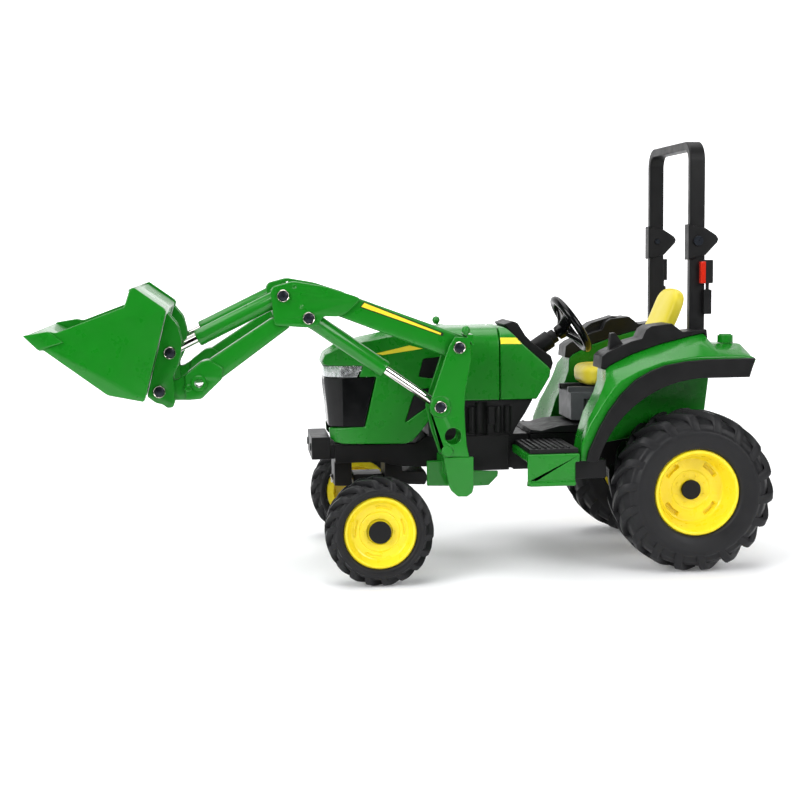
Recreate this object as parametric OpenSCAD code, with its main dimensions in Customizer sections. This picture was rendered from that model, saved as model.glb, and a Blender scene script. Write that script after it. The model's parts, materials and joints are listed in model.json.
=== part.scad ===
// Toy compact tractor with a front loader, about 1:16 scale.
// X runs along the tractor with its front toward -X, Y is across it, Z is up.
// Stations along X are counted from the front axle; placed() moves the model
// to its origin under the middle of the overall length.

/* [Wheels] */
// Distance between the front and rear axles
wheel_base = 110; // [100:1:132]
// Outer radius of the rear tyres
rear_tyre_r = 28; // [24:0.5:33.6]
// Width of the rear tyres
rear_tyre_w = 22; // [18:0.5:26]
// Radius of the rear rims at their outer edge
rear_rim_r = 15; // [12:0.5:18]
// Distance from the middle plane to the outer face of a rear tyre
rear_wheel_out = 48; // [46:0.5:58]
// Outer radius of the front tyres
front_tyre_r = 18.3; // [16:0.5:20]
// Width of the front tyres
front_tyre_w = 14; // [11:0.5:15]
// Radius of the front rims at their outer edge
front_rim_r = 12.3; // [10:0.5:13]
// Distance from the middle plane to the outer face of a front tyre
front_wheel_out = 51.6; // [50:0.5:62]
// Radius of the wheel shafts
axle_r = 1.6; // [1.2:0.1:2]
// Radial clearance of every running fit
run_clear = 0.06; // [0.03:0.01:0.1]
// Height of the tread bars
tread_h = 1.7; // [1:0.1:2.2]
// Number of tread bars on each side of a tyre
tread_count = 18; // [12:1:22]

/* [Loader] */
// Distance from the middle plane to the middle of a loader arm
arm_y = 32; // [30:0.5:38]
// Width of the arm tubes, which is also the gap between the knee plates
arm_w = 6.4; // [5.8:0.1:8]
// Thickness of the knee plates
knee_plate_t = 1; // [0.8:0.1:1.4]
// Height of the boom pivot above the ground
boom_pivot_z = 79.1; // [78:0.5:86]
// Distance of the boom pivot behind the front axle
boom_pivot_x = 28.9; // [28:0.5:34]
// Level distance from the boom pivot forward to the bucket pivot
boom_reach = 101.2; // [92:0.5:122]
// Drop from the boom pivot to the bucket pivot
boom_drop = 12.9; // [11:0.1:15]
// Radius of the loader pins
pin_r = 1.1; // [0.9:0.05:1.3]
// Radius of the round heads of the loader pins
pin_head_r = 2.1; // [1.8:0.1:2.4]
// Thickness of the pin heads
pin_head_t = 1.2; // [0.8:0.1:1.6]
// Outer radius of the cylinder barrels
barrel_r = 2.9; // [2.5:0.1:3]
// Radius of the cylinder rods
rod_r = 1.5; // [1.2:0.1:1.7]
// Thickness of the mast plates
mast_plate_t = 1.6; // [1.2:0.1:2]

/* [Bucket] */
// Outside width of the bucket
bucket_w = 93; // [84:0.5:112]
// Thickness of the bucket's sheets
bucket_t = 1.3; // [1:0.1:1.8]
// Thickness of the ears on the back of the bucket
ear_t = 1.2; // [1:0.1:1.5]

/* [Body] */
// Width of the hood at its rear
hood_w = 36; // [32:0.5:40]
// Thickness of the hood and cowl shells
shell_t = 1.4; // [1:0.1:2]
// Height of the floor deck's top face
deck_z = 42.4; // [40:0.2:46]
// Distance from the middle plane to the outer edge of the floor deck
deck_out = 44; // [42:0.5:48]
// Distance from the middle plane to the inner face of a fender
fender_in = 22.2; // [18.5:0.1:22.2]
// Gap between the rear tyre and the fender arch
fender_gap = 11.4; // [8:0.2:13]
// Width of the seat
seat_w = 25; // [20:0.5:28]

/* [Roll bar] */
// Outside width of the roll bar
rops_w = 53.6; // [48:0.5:60]
// Height of the roll bar above the ground
rops_h = 149.2; // [140:0.5:180]
// Depth of the roll bar tube along the tractor
rops_tube_x = 5.5; // [4:0.1:7]
// Thickness of the roll bar tube across the tractor
rops_tube_y = 3; // [2.4:0.1:4]
// Height of the roll bar's fold hinge
rops_hinge_z = 114.3; // [108:0.5:120]

/* [Front axle] */
// Distance from the middle plane to a steering kingpin
kingpin_y = 31; // [28:0.5:34]
// Radius of the kingpins
kingpin_r = 1.3; // [1:0.1:1.6]
// Distance from a kingpin back to the tie rod
steer_arm = 8; // [7:0.5:9]
// Height of the front axle's rocking pin above the axle
rock_pin_up = 5.4; // [4.5:0.1:6]
// Radius of the rocking pin
rock_pin_r = 1.5; // [1.2:0.1:1.8]

/* [Steering wheel] */
// Radius of the steering wheel to the middle of its rim
wheel_ring_r = 10.8; // [9:0.2:13]
// Radius of the steering wheel's rim section
wheel_ring_t = 1.35; // [1:0.05:1.7]

/* [Hitch] */
// Radius of the hitch hole in the drawbar
hitch_r = 1.6; // [1.2:0.1:2]
// Thickness of the drawbar
drawbar_t = 2.4; // [2:0.1:3]

/* [Hidden] */
$fn = 48;

green = "green";
yellow = "gold";
black = "dimgray";

// Loader pins in the side view, each [x, z].
boom_pivot = [boom_pivot_x, boom_pivot_z];
bucket_pivot = boom_pivot + [-boom_reach, -boom_drop];
// The knee sits half way along the boom.
knee = boom_pivot + [-boom_reach / 2 - 0.2, 10.8];
knee_top_pin = knee + [-8.5, 7.6];
bucket_link_pin = bucket_pivot + [3.8, 12.9];
mast_link_pin = boom_pivot + [-6.7, -20.1];

// Directions of the two cylinders, from the rod's pin to the barrel's pin.
function unit(v) = v / norm(v);
lift_dir = unit(knee - mast_link_pin);
lift_len = norm(knee - mast_link_pin);
lift_barrel_len = 31.7;
lift_rod_len = lift_len - lift_barrel_len + 13.9;
bucket_dir = unit(knee_top_pin - bucket_link_pin);
bucket_len = norm(knee_top_pin - bucket_link_pin);
bucket_barrel_len = 32.2;
bucket_rod_len = bucket_len - bucket_barrel_len + 20.9;

// Wheels and axles.
rear_x = wheel_base;
rear_z = rear_tyre_r;
front_z = front_tyre_r;
rear_wheel_in = rear_wheel_out - rear_tyre_w;
front_wheel_in = front_wheel_out - front_tyre_w;
rim_t = 1.6;
rim_set_back = 1.6;
dish_depth_rear = 9.5;
dish_depth_front = 3.4;
side_gap = 0.5;

// Loader widths.
knee_out = arm_y + arm_w / 2 + knee_plate_t;
knee_in = arm_y - arm_w / 2 - knee_plate_t;
eye_w = arm_w - 0.8;
casting_w = arm_w - 0.4;
ear_gap = arm_w + 0.4;
mast_gap = arm_w + 2.8;
mast_out = arm_y + mast_gap / 2 + mast_plate_t;
mast_in = arm_y - mast_gap / 2 - mast_plate_t;
pin_fit = 0.03;

// Body stations.
hood_front = -16.2;
hood_rear = 46.5;
cowl_rear = 65;
hood_top = 85.2;
engine_top = 58.6;
chassis_bottom = 34.6;
deck_front = 51.3;
deck_t = 2.8;
step_drop = 8;
arch_r = rear_tyre_r + fender_gap;
fender_k = arch_r / 39.4;
arch_shift = 3.4 * fender_k;
arch_centre = [rear_x + arch_shift, rear_z];
fender_front = rear_x - 40.4 * fender_k;
fender_out = 42.5;
fender_t = 1.5;
trim_w = 4.2;
trim_t = 2;
rops_x = rear_x + 2.7;
rops_post_top = rops_hinge_z - 5;
rops_half = rops_w / 2;
rops_post_bottom = rear_z + arch_r + 2;
origin_shift = -(bucket_pivot[0] - 42.7 + rear_x + rear_tyre_r) / 2;

module placed() {
    translate([origin_shift, 0, 0]) children();
}

module both_sides() {
    children();
    mirror([0, 1, 0]) children();
}

// A plate standing in the XZ plane, from y0 to y1.
module plate(y0, y1, outline) {
    translate([0, y1, 0])
        rotate([90, 0, 0])
            linear_extrude(height = y1 - y0) polygon(outline);
}

// A round bar along Y at the side-view point p.
module cross_bar(p, y0, y1, r) {
    translate([p[0], y1, p[1]])
        rotate([90, 0, 0]) cylinder(r = r, h = y1 - y0);
}

// A round bar from the side-view point p along direction d, at width y.
module side_bar(p, d, from, to, y, r) {
    translate([p[0] + d[0] * from, y, p[1] + d[1] * from])
        rotate([0, atan2(d[0], d[1]), 0]) cylinder(r = r, h = to - from);
}

// Moves each point of an outline by the side-view point p.
function at(p, outline) = [for (q = outline) p + q];

// Points of an arc about c from angle a0 to a1.
function arc(c, r, a0, a1, n = 12) =
    [for (i = [0:n]) c + r * [cos(a0 + (a1 - a0) * i / n), sin(a0 + (a1 - a0) * i / n)]];

// A bent shell: each station is an open line of points with its inner copy, and
// the stations are joined in order into one closed skin.
module shell_loft(outer, inner) {
    n = len(outer[0]);
    m = len(outer);
    w = 2 * n;
    points = [for (j = [0:m - 1]) concat(outer[j], [for (i = [n - 1:-1:0]) inner[j][i]])];
    sides = [for (j = [0:m - 2]) for (i = [0:w - 1]) let(k = (i + 1) % w)
        for (tri = [[j * w + i, j * w + k, (j + 1) * w + k],
                    [j * w + i, (j + 1) * w + k, (j + 1) * w + i]]) tri];
    first = [for (i = [0:n - 2]) for (tri = [[i + 1, i, w - 1 - i], [i + 1, w - 1 - i, w - 2 - i]]) tri];
    polyhedron([for (loop = points) for (p = loop) p], concat(sides, first,
        [for (t = first) [(m - 1) * w + t[2], (m - 1) * w + t[1], (m - 1) * w + t[0]]]));
}

// ---------------------------------------------------------------- chassis

saddle_front = -12.3;
saddle_rear = 13;
rail_half = 13;
bumper_half = 14;

module chassis_frame() placed() color(black) difference() {
    union() {
        plate(-rail_half, rail_half, [[saddle_front, 37], [saddle_front, 43.5], [16.6, 43.5],
            [20.4, 46], [52, 46],
            [52, chassis_bottom - 1], [12, chassis_bottom + 0.6], [4, 37]]);
        // Saddle that holds the rocking pin, in front of and behind the axle beam.
        for (x = [saddle_front, 6])
            translate([x, -8, 28]) cube([6.3, 16, 10]);
        translate([52, -rail_half, 33]) cube([6, 2 * rail_half, 13]);
        // Guard behind the axle, below the frame.
        plate(-8, 8, [[12, 28], [12, 32.8], [20.6, 32.6], [21.6, 30], [20.5, 27.6]]);
    }
    translate([saddle_front - 1, 0, front_z + rock_pin_up + 6])
        rotate([0, 90, 0]) cylinder(r = rock_pin_r + pin_fit, h = 26);
}

module front_bumper() placed() color(black) union() {
    translate([-20.6, -bumper_half, 38.6]) cube([6.6, 2 * bumper_half, 7.9]);
    translate([-17, -rail_half, 38.6]) cube([17 + saddle_front, 2 * rail_half, 4.9]);
    for (y = [-9.5, 9.5])
        translate([-20.6, y, 42.6]) rotate([0, -90, 0]) cylinder(r = 1.4, h = 0.5);
}

module engine_block() placed() color(black) union() {
    difference() {
        plate(-15.6, 15.6, [[21, 46], [21, engine_top], [58.8, engine_top], [56, 53.6],
            [52.6, 48.6], [51.4, 46]]);
        for (s = [-1, 1]) translate([40, s * 16.6, 46])
            cylinder(r = 2.4, h = 12);
    }
    both_sides() {
        for (x = [33.6, 36.6, 46, 49.4])
            translate([x, 15.4, 47]) cylinder(r = 1.3, h = 9.5);
        translate([42.4, 15.5, 50]) cube([2.4, 1.1, 6.5]);
        translate([33.4, rail_half, 33.4]) cube([16.6, 3.2, 12.6]);
    }
}

// Gearbox, axle tubes and the brackets under the floor.
module rear_axle_housing() placed() color(black) difference() {
    union() {
        plate(-14, 14, [[58, 46], [58, 33.4], [rear_x - 24, 33.4], [rear_x - 12, 20],
            [rear_x + 6, 20], [rear_x + 6, 46]]);
        translate([rear_x, 0, rear_z]) rotate([90, 0, 0])
            cylinder(r = 6.5, h = 2 * (rear_wheel_in - side_gap), center = true);
        both_sides() {
            translate([58, 13.5, deck_z - deck_t - 6.4])
                cube([rear_x - rear_tyre_r - 2.5 - 58, deck_out - 17.5, 6.4]);
            translate([rear_x - 8, fender_in - 9.2, 30]) cube([16, 9, 22]);
        }
    }
    translate([rear_x, 0, rear_z]) rotate([90, 0, 0])
        cylinder(r = axle_r + pin_fit, h = 2 * rear_wheel_out, center = true);
}

module rear_axle_shaft() placed() color("silver")
    translate([rear_x, 0, rear_z]) rotate([90, 0, 0])
        cylinder(r = axle_r, h = 2 * (rear_wheel_out - dish_depth_rear - 0.4), center = true);

hub_cap_t = 1.5;

module rear_hub_caps() placed() color(black) both_sides()
    translate([rear_x, rear_wheel_out - dish_depth_rear - 0.4, rear_z]) rotate([-90, 0, 0])
        cylinder(r = 3.4, h = hub_cap_t);

module drawbar() placed() color(black) difference() {
    union() {
        translate([rear_x + 6, -3.2, 20]) cube([13, 6.4, drawbar_t]);
        translate([rear_x + 19, 0, 20]) cylinder(r = 3.2, h = drawbar_t);
    }
    translate([rear_x + 19, 0, 19]) cylinder(r = hitch_r, h = drawbar_t + 2);
}

// ---------------------------------------------------------------- hood

// Outline of the hood from above, inset by i.
function hood_plan(i) = let(w = hood_w / 2 - i) concat(
    [[hood_front + i, -w * 0.42], [hood_front + 1.6 + i, -w * 0.62], [-10 + i, -w * 0.79],
     [0, -w * 0.88], [20, -w * 0.96], [hood_rear, -w], [cowl_rear, -w * 0.97]],
    [[cowl_rear, w * 0.97], [hood_rear, w], [20, w * 0.96], [0, w * 0.88], [-10 + i, w * 0.79],
     [hood_front + 1.6 + i, w * 0.62], [hood_front + i, w * 0.42]]);

// Side view of the hood's top line from the nose to the cowl's rear, inset by i.
function hood_top_line(i) = [[hood_front + i, 73 - i], [-15 + i, 75.6 - i], [-10.3, 78 - i],
    [-1.4, 80.4 - i], [8.2, 82.2 - i], [27.9, 84.8 - i], [hood_rear, hood_top - i]];

// Section across the hood: rounded shoulders, inset by i.
function hood_section(i) = let(w = hood_w / 2 - i, r = 7.5, t = hood_top - i) concat(
    [[-w, 40], [w, 40]],
    arc([w - r, t - r - 0.6], r, 0, 78, 6),
    arc([-w + r, t - r - 0.6], r, 102, 180, 6));

module hood_solid(i, bottom) {
    intersection() {
        translate([0, 0, 40]) linear_extrude(height = 60) polygon(hood_plan(i));
        plate(-30, 30, concat(hood_top_line(i),
            [[cowl_rear + 1, hood_top - i], [cowl_rear + 1, bottom], [hood_front - 1, bottom]]));
        translate([-30, 0, 0]) rotate([90, 0, 90])
            linear_extrude(height = 120) polygon(hood_section(i));
    }
}

// Side outline of the hood's own panel behind the grille and above the engine.
hood_outline = [[hood_front - 1, 71.8], [-2, 71.8], [-3.5, 67.8], [2.6, 67.8], [-1.6, 50],
    [-14.2, 49.6], [-13.8, 46], [-12.2, 44.6], [-9, 44], [12.6, 43.8], [15, 44.6],
    [18.4, 48.4], [24, 56], [28, engine_top + 0.2],
    [hood_rear - 0.15, engine_top + 0.2], [hood_rear - 0.15, 90], [hood_front - 1, 90]];
grille_outline = [[-15.7, 67], [-13.9, 50], [-2, 50], [2.2, 67.6], [-8, 67.6], [-15.7, 67.6]];
headlight_outline = [[-16.3, 71.6], [-15.7, 67.8], [-4.2, 67.8], [-2.4, 71.6]];

module hood() placed() color(green) difference() {
    intersection() {
        hood_solid(0, 40);
        plate(-30, 30, hood_outline);
    }
    hood_solid(shell_t, 30);
    for (s = [-1, 1]) for (v = vent_outlines)
        translate([0, s * hood_w / 2, 0]) plate(-6, 6, v);
}

// Dark louvred insets in each side of the hood.
vent_outlines = [
    [[17.6, 67.6], [19.2, 74], [25.6, 74.6], [25.6, 66.4]],
    [[12.6, 51.4], [15.6, 60.6], [18.8, 63.4], [25.6, 63.4], [25.6, 60.4]]];

module hood_vents() placed() color(black) intersection() {
    difference() {
        hood_solid(0.5, 40);
        hood_solid(shell_t, 30);
    }
    for (s = [-1, 1]) for (v = vent_outlines)
        translate([0, s * hood_w / 2, 0]) plate(-6, 6, v);
}

module grille() placed() color(black) difference() {
    intersection() {
        hood_solid(0.7, 40);
        plate(-30, 30, grille_outline);
    }
    hood_solid(2.4, 30);
    for (y = [-5.4:1.8:5.4])
        translate([-20, y - 0.35, 51]) cube([5.2, 0.7, 15.4]);
}

module headlights() placed() color("silver") difference() {
    intersection() {
        hood_solid(0.3, 40);
        plate(-30, 30, headlight_outline);
    }
    hood_solid(2, 30);
}

cowl_outline = [[hood_rear + 0.15, engine_top + 0.2], [hood_rear + 0.15, 90], [48.3, 90],
    [48.3, 85.2], [50.6, 83.3],
    [54.8, 78.6], [64, 70.4], [cowl_rear, 69], [cowl_rear - 0.4, 66.6], [59.8, engine_top + 0.2]];

module cowl() placed() color(green) difference() {
    intersection() {
        hood_solid(0, 40);
        plate(-30, 30, cowl_outline);
    }
    intersection() {
        hood_solid(shell_t, 30);
        plate(-30, 30, [[hood_rear - 2, 50], [hood_rear - 2, 90], [50.2, 81.6],
            [54, 77.4], [63, 69.4], [63, 67], [58.4, 57]]);
    }
}

dash_outline = [[50.9, 83.5], [49.4, 85.3], [52.7, 86.4], [54.4, 85.7], [57.2, 81.2],
    [59.4, 78.8], [66.6, 73.6], [67.3, 71], [66.6, 68.4], [65.2, 69.1], [64.2, 70.8], [55.1, 78.9]];

// Dark instrument hood along the cowl's sloping top.
module dash_panel() placed() color(black) plate(-10.5, 10.5, dash_outline);

// Steering wheel centre and its shaft direction, forward and down.
steer_centre = [76.3, 84.4];
steer_dir = unit([-0.836, -0.549]);

module steering_column() placed() color(black) difference() {
    union() {
        side_bar(steer_centre, steer_dir, 9.4, 19.4, 0, 3.4);
        side_bar(steer_centre, steer_dir, 7, 9.4, 0, 2.6);
    }
    side_bar(steer_centre, steer_dir, 6, 13.2, 0, 1.1 + run_clear);
    plate(-20, 20, [[40, 90], [50.7, 83.4], [55, 78.8], [64.1, 70.7], [66, 60], [40, 60]]);
    plate(-12, 12, dash_outline);
}

module steering_wheel() placed() color(black) {
    translate([steer_centre[0], 0, steer_centre[1]])
        rotate([0, atan2(steer_dir[0], steer_dir[1]), 0]) union() {
            rotate_extrude() translate([wheel_ring_r, 0]) circle(r = wheel_ring_t, $fn = 20);
            translate([0, 0, 3.4]) cylinder(r = 2.5, h = 3.2);
            translate([0, 0, 3.4]) cylinder(r = 1.1, h = 9.4);
            // Three spokes dished from the rim to the hub.
            for (a = [90, 210, 330]) rotate([0, 0, a])
                rotate([90, 0, 0]) translate([0, 0, -0.9]) linear_extrude(height = 1.8)
                    polygon([[wheel_ring_r - 0.4, -0.8], [wheel_ring_r - 0.4, 0.9],
                        [2, 5.6], [1, 5.6], [1, 3.9]]);
        }
}

// ---------------------------------------------------------------- floor

deck_rear = fender_front - 0.2;

module floor_deck() placed() color(green) both_sides() union() {
    translate([deck_front, 14.4, deck_z - deck_t])
        cube([deck_rear - deck_front, deck_out - 14.4, deck_t]);
    translate([deck_rear - 1, 14.4, deck_z - deck_t])
        cube([2.8, shoulder_y - 15.4, deck_t]);
    // Step that hangs from the outer edge, with its lower lip turned out.
    translate([deck_front, deck_out - 1.5, deck_z - deck_t - step_drop])
        cube([deck_rear - deck_front - 1.6, 1.5, step_drop + deck_t]);
    translate([deck_front + 0.4, deck_out - 4, deck_z - deck_t - step_drop])
        cube([deck_rear - deck_front - 2, 5.2, 1.4]);
}

mat_t = 1.6;

module floor_mats() placed() color(black) union() {
    both_sides() {
        translate([deck_front + 1, 14.6, deck_z])
            cube([fender_front - deck_front - 1.4, deck_out - 16.4, mat_t]);
        for (i = [0:6])
            translate([deck_front + 2.4 + 2 * i, 17, deck_z + mat_t - 0.1])
                cube([0.9, deck_out - 20, 0.6]);
    }
    // Tunnel cover over the gearbox.
    plate(-14.4, 14.4, [[57.5, 46.2], [58.4, 47.4], [62, 46.9], [rear_x - 41, 48.6],
        [rear_x - 22, 49.4], [rear_x - 22, 46.2]]);
}

foot = deck_z - deck_t - rear_z;
shoulder_y = 34;
arch_end = 18.6 * fender_k;

// Points of a fender outline, counted from the rear axle and set out for the usual
// wheel arch; below the deck's level they stay on the foot.
function on_fender(outline) = [for (q = outline) fender_k * q];
function footed(outline) = concat([[fender_k * outline[0][0], foot]],
    on_fender([for (i = [1:len(outline) - 1]) outline[i]]));

// Fender outline from its foot up and over to the rear tip: at the inner wall and
// top, half way over the shoulder, and outside.
fender_side = footed([[-38.4, 12], [-37, 18.6], [-34.6, 26.6], [-30.8, 33.6], [-29.6, 37.4],
    [-29.3, 42.2], [-27.8, 43.6], [-20, 47.3], [-10, 50.6], [2, 53.5], [5.6, 54.2],
    [6.8, 50.6], [18.6, 50.4], [22.6, 45.4], [19.8, 40.4]]);
fender_mid = footed([[-39.6, 12], [-39.2, 18.6], [-36.8, 25.6], [-33.2, 32.4], [-31.8, 35.6],
    [-30.6, 39.2], [-27, 41.6], [-19.8, 44.2], [-12, 47], [-1.5, 49.8], [3, 50.6],
    [9, 48.6], [17.4, 48.2], [22, 45.2], [19.8, 40.4]]);
fender_edge = footed([[-40.2, 12], [-39.6, 17.4], [-37, 24], [-33, 30.2], [-31, 33],
    [-28.8, 35.8], [-25.6, 38.8], [-18.8, 42.4], [-11.4, 45], [-1.5, 46.4], [3, 46.6],
    [9, 46.6], [17.4, 46.6], [21.8, 45.7], [19.8, 40.4]]);
trim_side = concat(footed([[-38.4, 12], [-37.6, 15.2], [-34, 23], [-30.8, 28.6], [-26.6, 34.2],
    [-21.4, 39.2], [-16, 42.2], [-11, 44], [-4, 45.2], [4, 45.8], [20.8, 45.9], [18.8, 39.4],
    [3.4, 39.4], [-28, 20]]), [[-28 * fender_k, foot]]);

// The point of the wheel opening that lies inward of the outline's point q.
function arch_point(q) = q[1] < 0.55 * arch_r && q[0] < 0
    ? [arch_shift - sqrt(pow(arch_r, 2) - pow(q[1], 2)), q[1]]
    : q[0] < arch_shift ? [arch_shift, 0] + arch_r * unit(q - [arch_shift, 0])
    : [min(q[0], arch_end), arch_r];

// The point p moved toward a by t, or less where the band is thin.
function toward(p, a, t) = p + (a - p) * min(t / norm(a - p), 0.45);

// Points across the fender at each station along it; t is the depth below its skin.
function fender_lines(t) = [for (k = [0:len(fender_side) - 1])
    let(a = arch_point(fender_side[k]), s = toward(fender_side[k], a, t),
        m = toward(fender_mid[k], a, t), e = toward(fender_edge[k], a, t),
        y0 = fender_in + t, y1 = fender_out - t)
    [[a[0], y0, a[1]], [s[0], y0, s[1]], [s[0], shoulder_y - t / 2, s[1]],
     [m[0], shoulder_y + 5 - t, m[1]], [e[0], y1, e[1]], [a[0], y1, a[1]]]];

// The slot in the fender's top that a roll bar post stands in.
module post_slot() {
    translate([rops_x - 0.2, rops_half - rops_tube_y - 0.2, rops_post_bottom])
        cube([rops_tube_x + 0.4, rops_tube_y + 0.4, 40]);
}

// Inner wall, top and rounded outer shoulder, open toward the wheel.
module fender() color(green) difference() {
    union() {
        translate([rear_x, 0, rear_z]) shell_loft(fender_lines(0), fender_lines(fender_t));
        // Wall between the wheel and the seat.
        plate(fender_in, fender_in + fender_t - 0.3, concat(
            arc(arch_centre, arch_r + 1, 158, 79, 10),
            at([rear_x, rear_z], on_fender([[11.4, 40], [9.9, 27.6], [9, 21]])),
            [[rear_x - 0.78 * arch_r, rear_z + foot + 3]]));
    }
    post_slot();
}

module fender_left() placed() mirror([0, 1, 0]) fender();
module fender_right() placed() fender();

// Dark lip round the wheel opening, wider toward the top.
module fender_trim() color(black) difference() {
    plate(fender_out, fender_out + trim_t, at([rear_x, rear_z], trim_side));
    cross_bar(arch_centre, fender_out - 1, fender_out + trim_t + 1, arch_r);
}

module fender_trim_left() placed() mirror([0, 1, 0]) fender_trim();
module fender_trim_right() placed() fender_trim();

// Dark panel along the fender's top.
console_out = 34.5;
console_side = at([rear_x, rear_z], on_fender([[-31, 42.6], [-30.6, 46.8], [-28.8, 48.2],
    [-20.4, 51.8], [-16.4, 52.8], [-15, 55.8], [-13, 57], [-5.8, 57.8], [-2, 54.8], [6.6, 55.6],
    [7, 52], [5.6, 54.3], [2, 53.6], [-10, 50.7], [-20, 47.4], [-27.8, 43.7], [-29.3, 42.3]]));

module console() color(black) difference() {
    plate(fender_in, console_out, console_side);
    post_slot();
}

module console_left() placed() mirror([0, 1, 0]) union() {
    console();
    // Position lever and its slotted block.
    color(black) plate(28.6, 31.6, at([rear_x, rear_z], on_fender([[-27.4, 48.2], [-26.8, 54.6],
        [-25.2, 54.8], [-23.4, 52.4], [-22.4, 50.8], [-23, 48.8]])));
}

module console_right() placed() union() {
    console();
    color(black) plate(25, 33.5, at([rear_x, rear_z], on_fender([[-23, 50.4], [-22.4, 53.6],
        [-20, 55.4], [-11, 58], [-7, 56], [-7, 54]])));
}

module fuel_cap() placed() color(green) mirror([0, 1, 0])
    translate([rear_x + 14.4 * fender_k, 31, rear_z + 50.6 * fender_k]) union() {
        cylinder(r = 2.7, h = 2.7);
        cylinder(r = 2.1, h = 3.1);
    }

// ---------------------------------------------------------------- seat

seat_front = rear_x - 31.4;

module seat_base() placed() color("gray") union() {
    difference() {
        translate([rear_x - 36, -10, 50]) cube([26, 20, 10]);
        for (s = [-1, 1])
            translate([rear_x - 31, s * 10 - 1, 51.2]) cube([3, 2, 6.4]);
    }
    // Slide rails under the cushion.
    for (y = [-8.4, 6.4])
        translate([rear_x - 36.6, y, 60]) cube([28, 2, 2]);
}

module seat() placed() color(yellow) plate(-seat_w / 2, seat_w / 2, concat(
    arc([seat_front + 4.4, 66.6], 4.4, 270, 100, 8),
    [[rear_x - 20, 70], [rear_x - 12, 69.4], [rear_x - 8.4, 72], [rear_x - 4.2, 80.8],
     [rear_x + 1.6, 92.6]],
    arc([rear_x + 4.6, 93.4], 3.4, 150, -10, 8),
    [[rear_x + 6.6, 85], [rear_x + 2, 73], [rear_x - 3, 64], [rear_x - 7, 62]]));

// ---------------------------------------------------------------- roll bar

bracket_t = 0.8;
web_t = 0.5;
rops_hinge = [rops_x + rops_tube_x / 2, rops_hinge_z];

hoop_outline = concat(
    [[rops_half, rops_hinge_z]],
    arc([rops_half - 7.2, rops_h - 7.2], 7.2, 0, 90, 8),
    arc([-rops_half + 7.2, rops_h - 7.2], 7.2, 90, 180, 8),
    [[-rops_half, rops_hinge_z], [-rops_half + rops_tube_y, rops_hinge_z]],
    arc([-rops_half + 7.2, rops_h - 7.2], 7.2 - rops_tube_y, 180, 90, 8),
    arc([rops_half - 7.2, rops_h - 7.2], 7.2 - rops_tube_y, 90, 0, 8),
    [[rops_half - rops_tube_y, rops_hinge_z]]);

// The bar's upper part is one bent tube; its legs end in the brackets, rounded
// about the hinge so that they turn clear of the bracket's front.
module rops_hoop() placed() color(black) difference() {
    union() {
        translate([rops_x, 0, 0]) rotate([90, 0, 90]) linear_extrude(height = rops_tube_x)
            polygon(hoop_outline);
        for (y = [-rops_half, rops_half - rops_tube_y])
            cross_bar(rops_hinge, y, y + rops_tube_y, rops_tube_x / 2);
    }
    cross_bar(rops_hinge, -rops_half - 1, rops_half + 1, 0.9 + run_clear);
}

bracket_side = at(rops_hinge, [[-rops_tube_x / 2 - 0.2 - web_t, -6.4],
    [-rops_tube_x / 2 - 0.2 - web_t, 5.6],
    [rops_tube_x / 2, 4.4], [6.6, 1.9], [7.4, 0.6], [7, -0.6], [rops_tube_x / 2, -5]]);

module rops_posts() placed() color(black) both_sides() difference() {
    union() {
        translate([rops_x, rops_half - rops_tube_y, rops_post_bottom])
            cube([rops_tube_x, rops_tube_y, rops_post_top - rops_post_bottom]);
        // Hinge bracket: two cheeks joined round the front of the post.
        for (y = [rops_half + 0.1, rops_half - rops_tube_y - 0.1 - bracket_t])
            plate(y, y + bracket_t, bracket_side);
        translate([rops_x - 0.2 - web_t, rops_half - rops_tube_y - bracket_t, rops_hinge_z - 6.4])
            cube([web_t, rops_tube_y + 2 * bracket_t, 12]);
        translate([rops_x - 0.3, rops_half - rops_tube_y - 0.2, rops_hinge_z - 6.4])
            cube([2, rops_tube_y + 0.4, rops_post_top - rops_hinge_z + 6.4]);
    }
    cross_bar(rops_hinge, 0, rops_half + 4, 0.9 + pin_fit);
}

module rops_pins() placed() color("silver") both_sides() union() {
    cross_bar(rops_hinge, rops_half - rops_tube_y - 1.4, rops_half + 1.2, 0.9);
    cross_bar(rops_hinge, rops_half + 0.1 + bracket_t, rops_half + 1.7, 1.7);
}

module rear_lamps() placed() color("firebrick") both_sides() union() {
    translate([rops_x + rops_tube_x - 0.6, rops_half, 99.4]) cube([3, 2.2, 8.2]);
    translate([rops_x + rops_tube_x - 2, rops_half, 99.6]) cube([1.4, 1.6, 7.8]);
    translate([rops_x + rops_tube_x - 0.9, rops_half, 88.6]) cube([2.8, 2.2, 8.6]);
    translate([rops_x + rops_tube_x + 0.2, rops_half, 97]) cube([1, 1.4, 2.6]);
}

// ---------------------------------------------------------------- loader mast

mast_outline = at(boom_pivot, [[-3.4, 0.6], [-1.4, 3.7], [3.7, 3.3], [4, -4.1], [1.9, -15.3],
    [1.6, -21], [1.8, -26.7], [2.3, -33.5], [3.2, -37.6], [-5.7, -37.6], [-8.5, -29.3],
    [-10.4, -20.7], [-9.5, -16.8], [-5.1, -3.9]]);
mast_hole = boom_pivot + [-2.4, -30.3];
mast_hole_r = 2.8;

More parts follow.
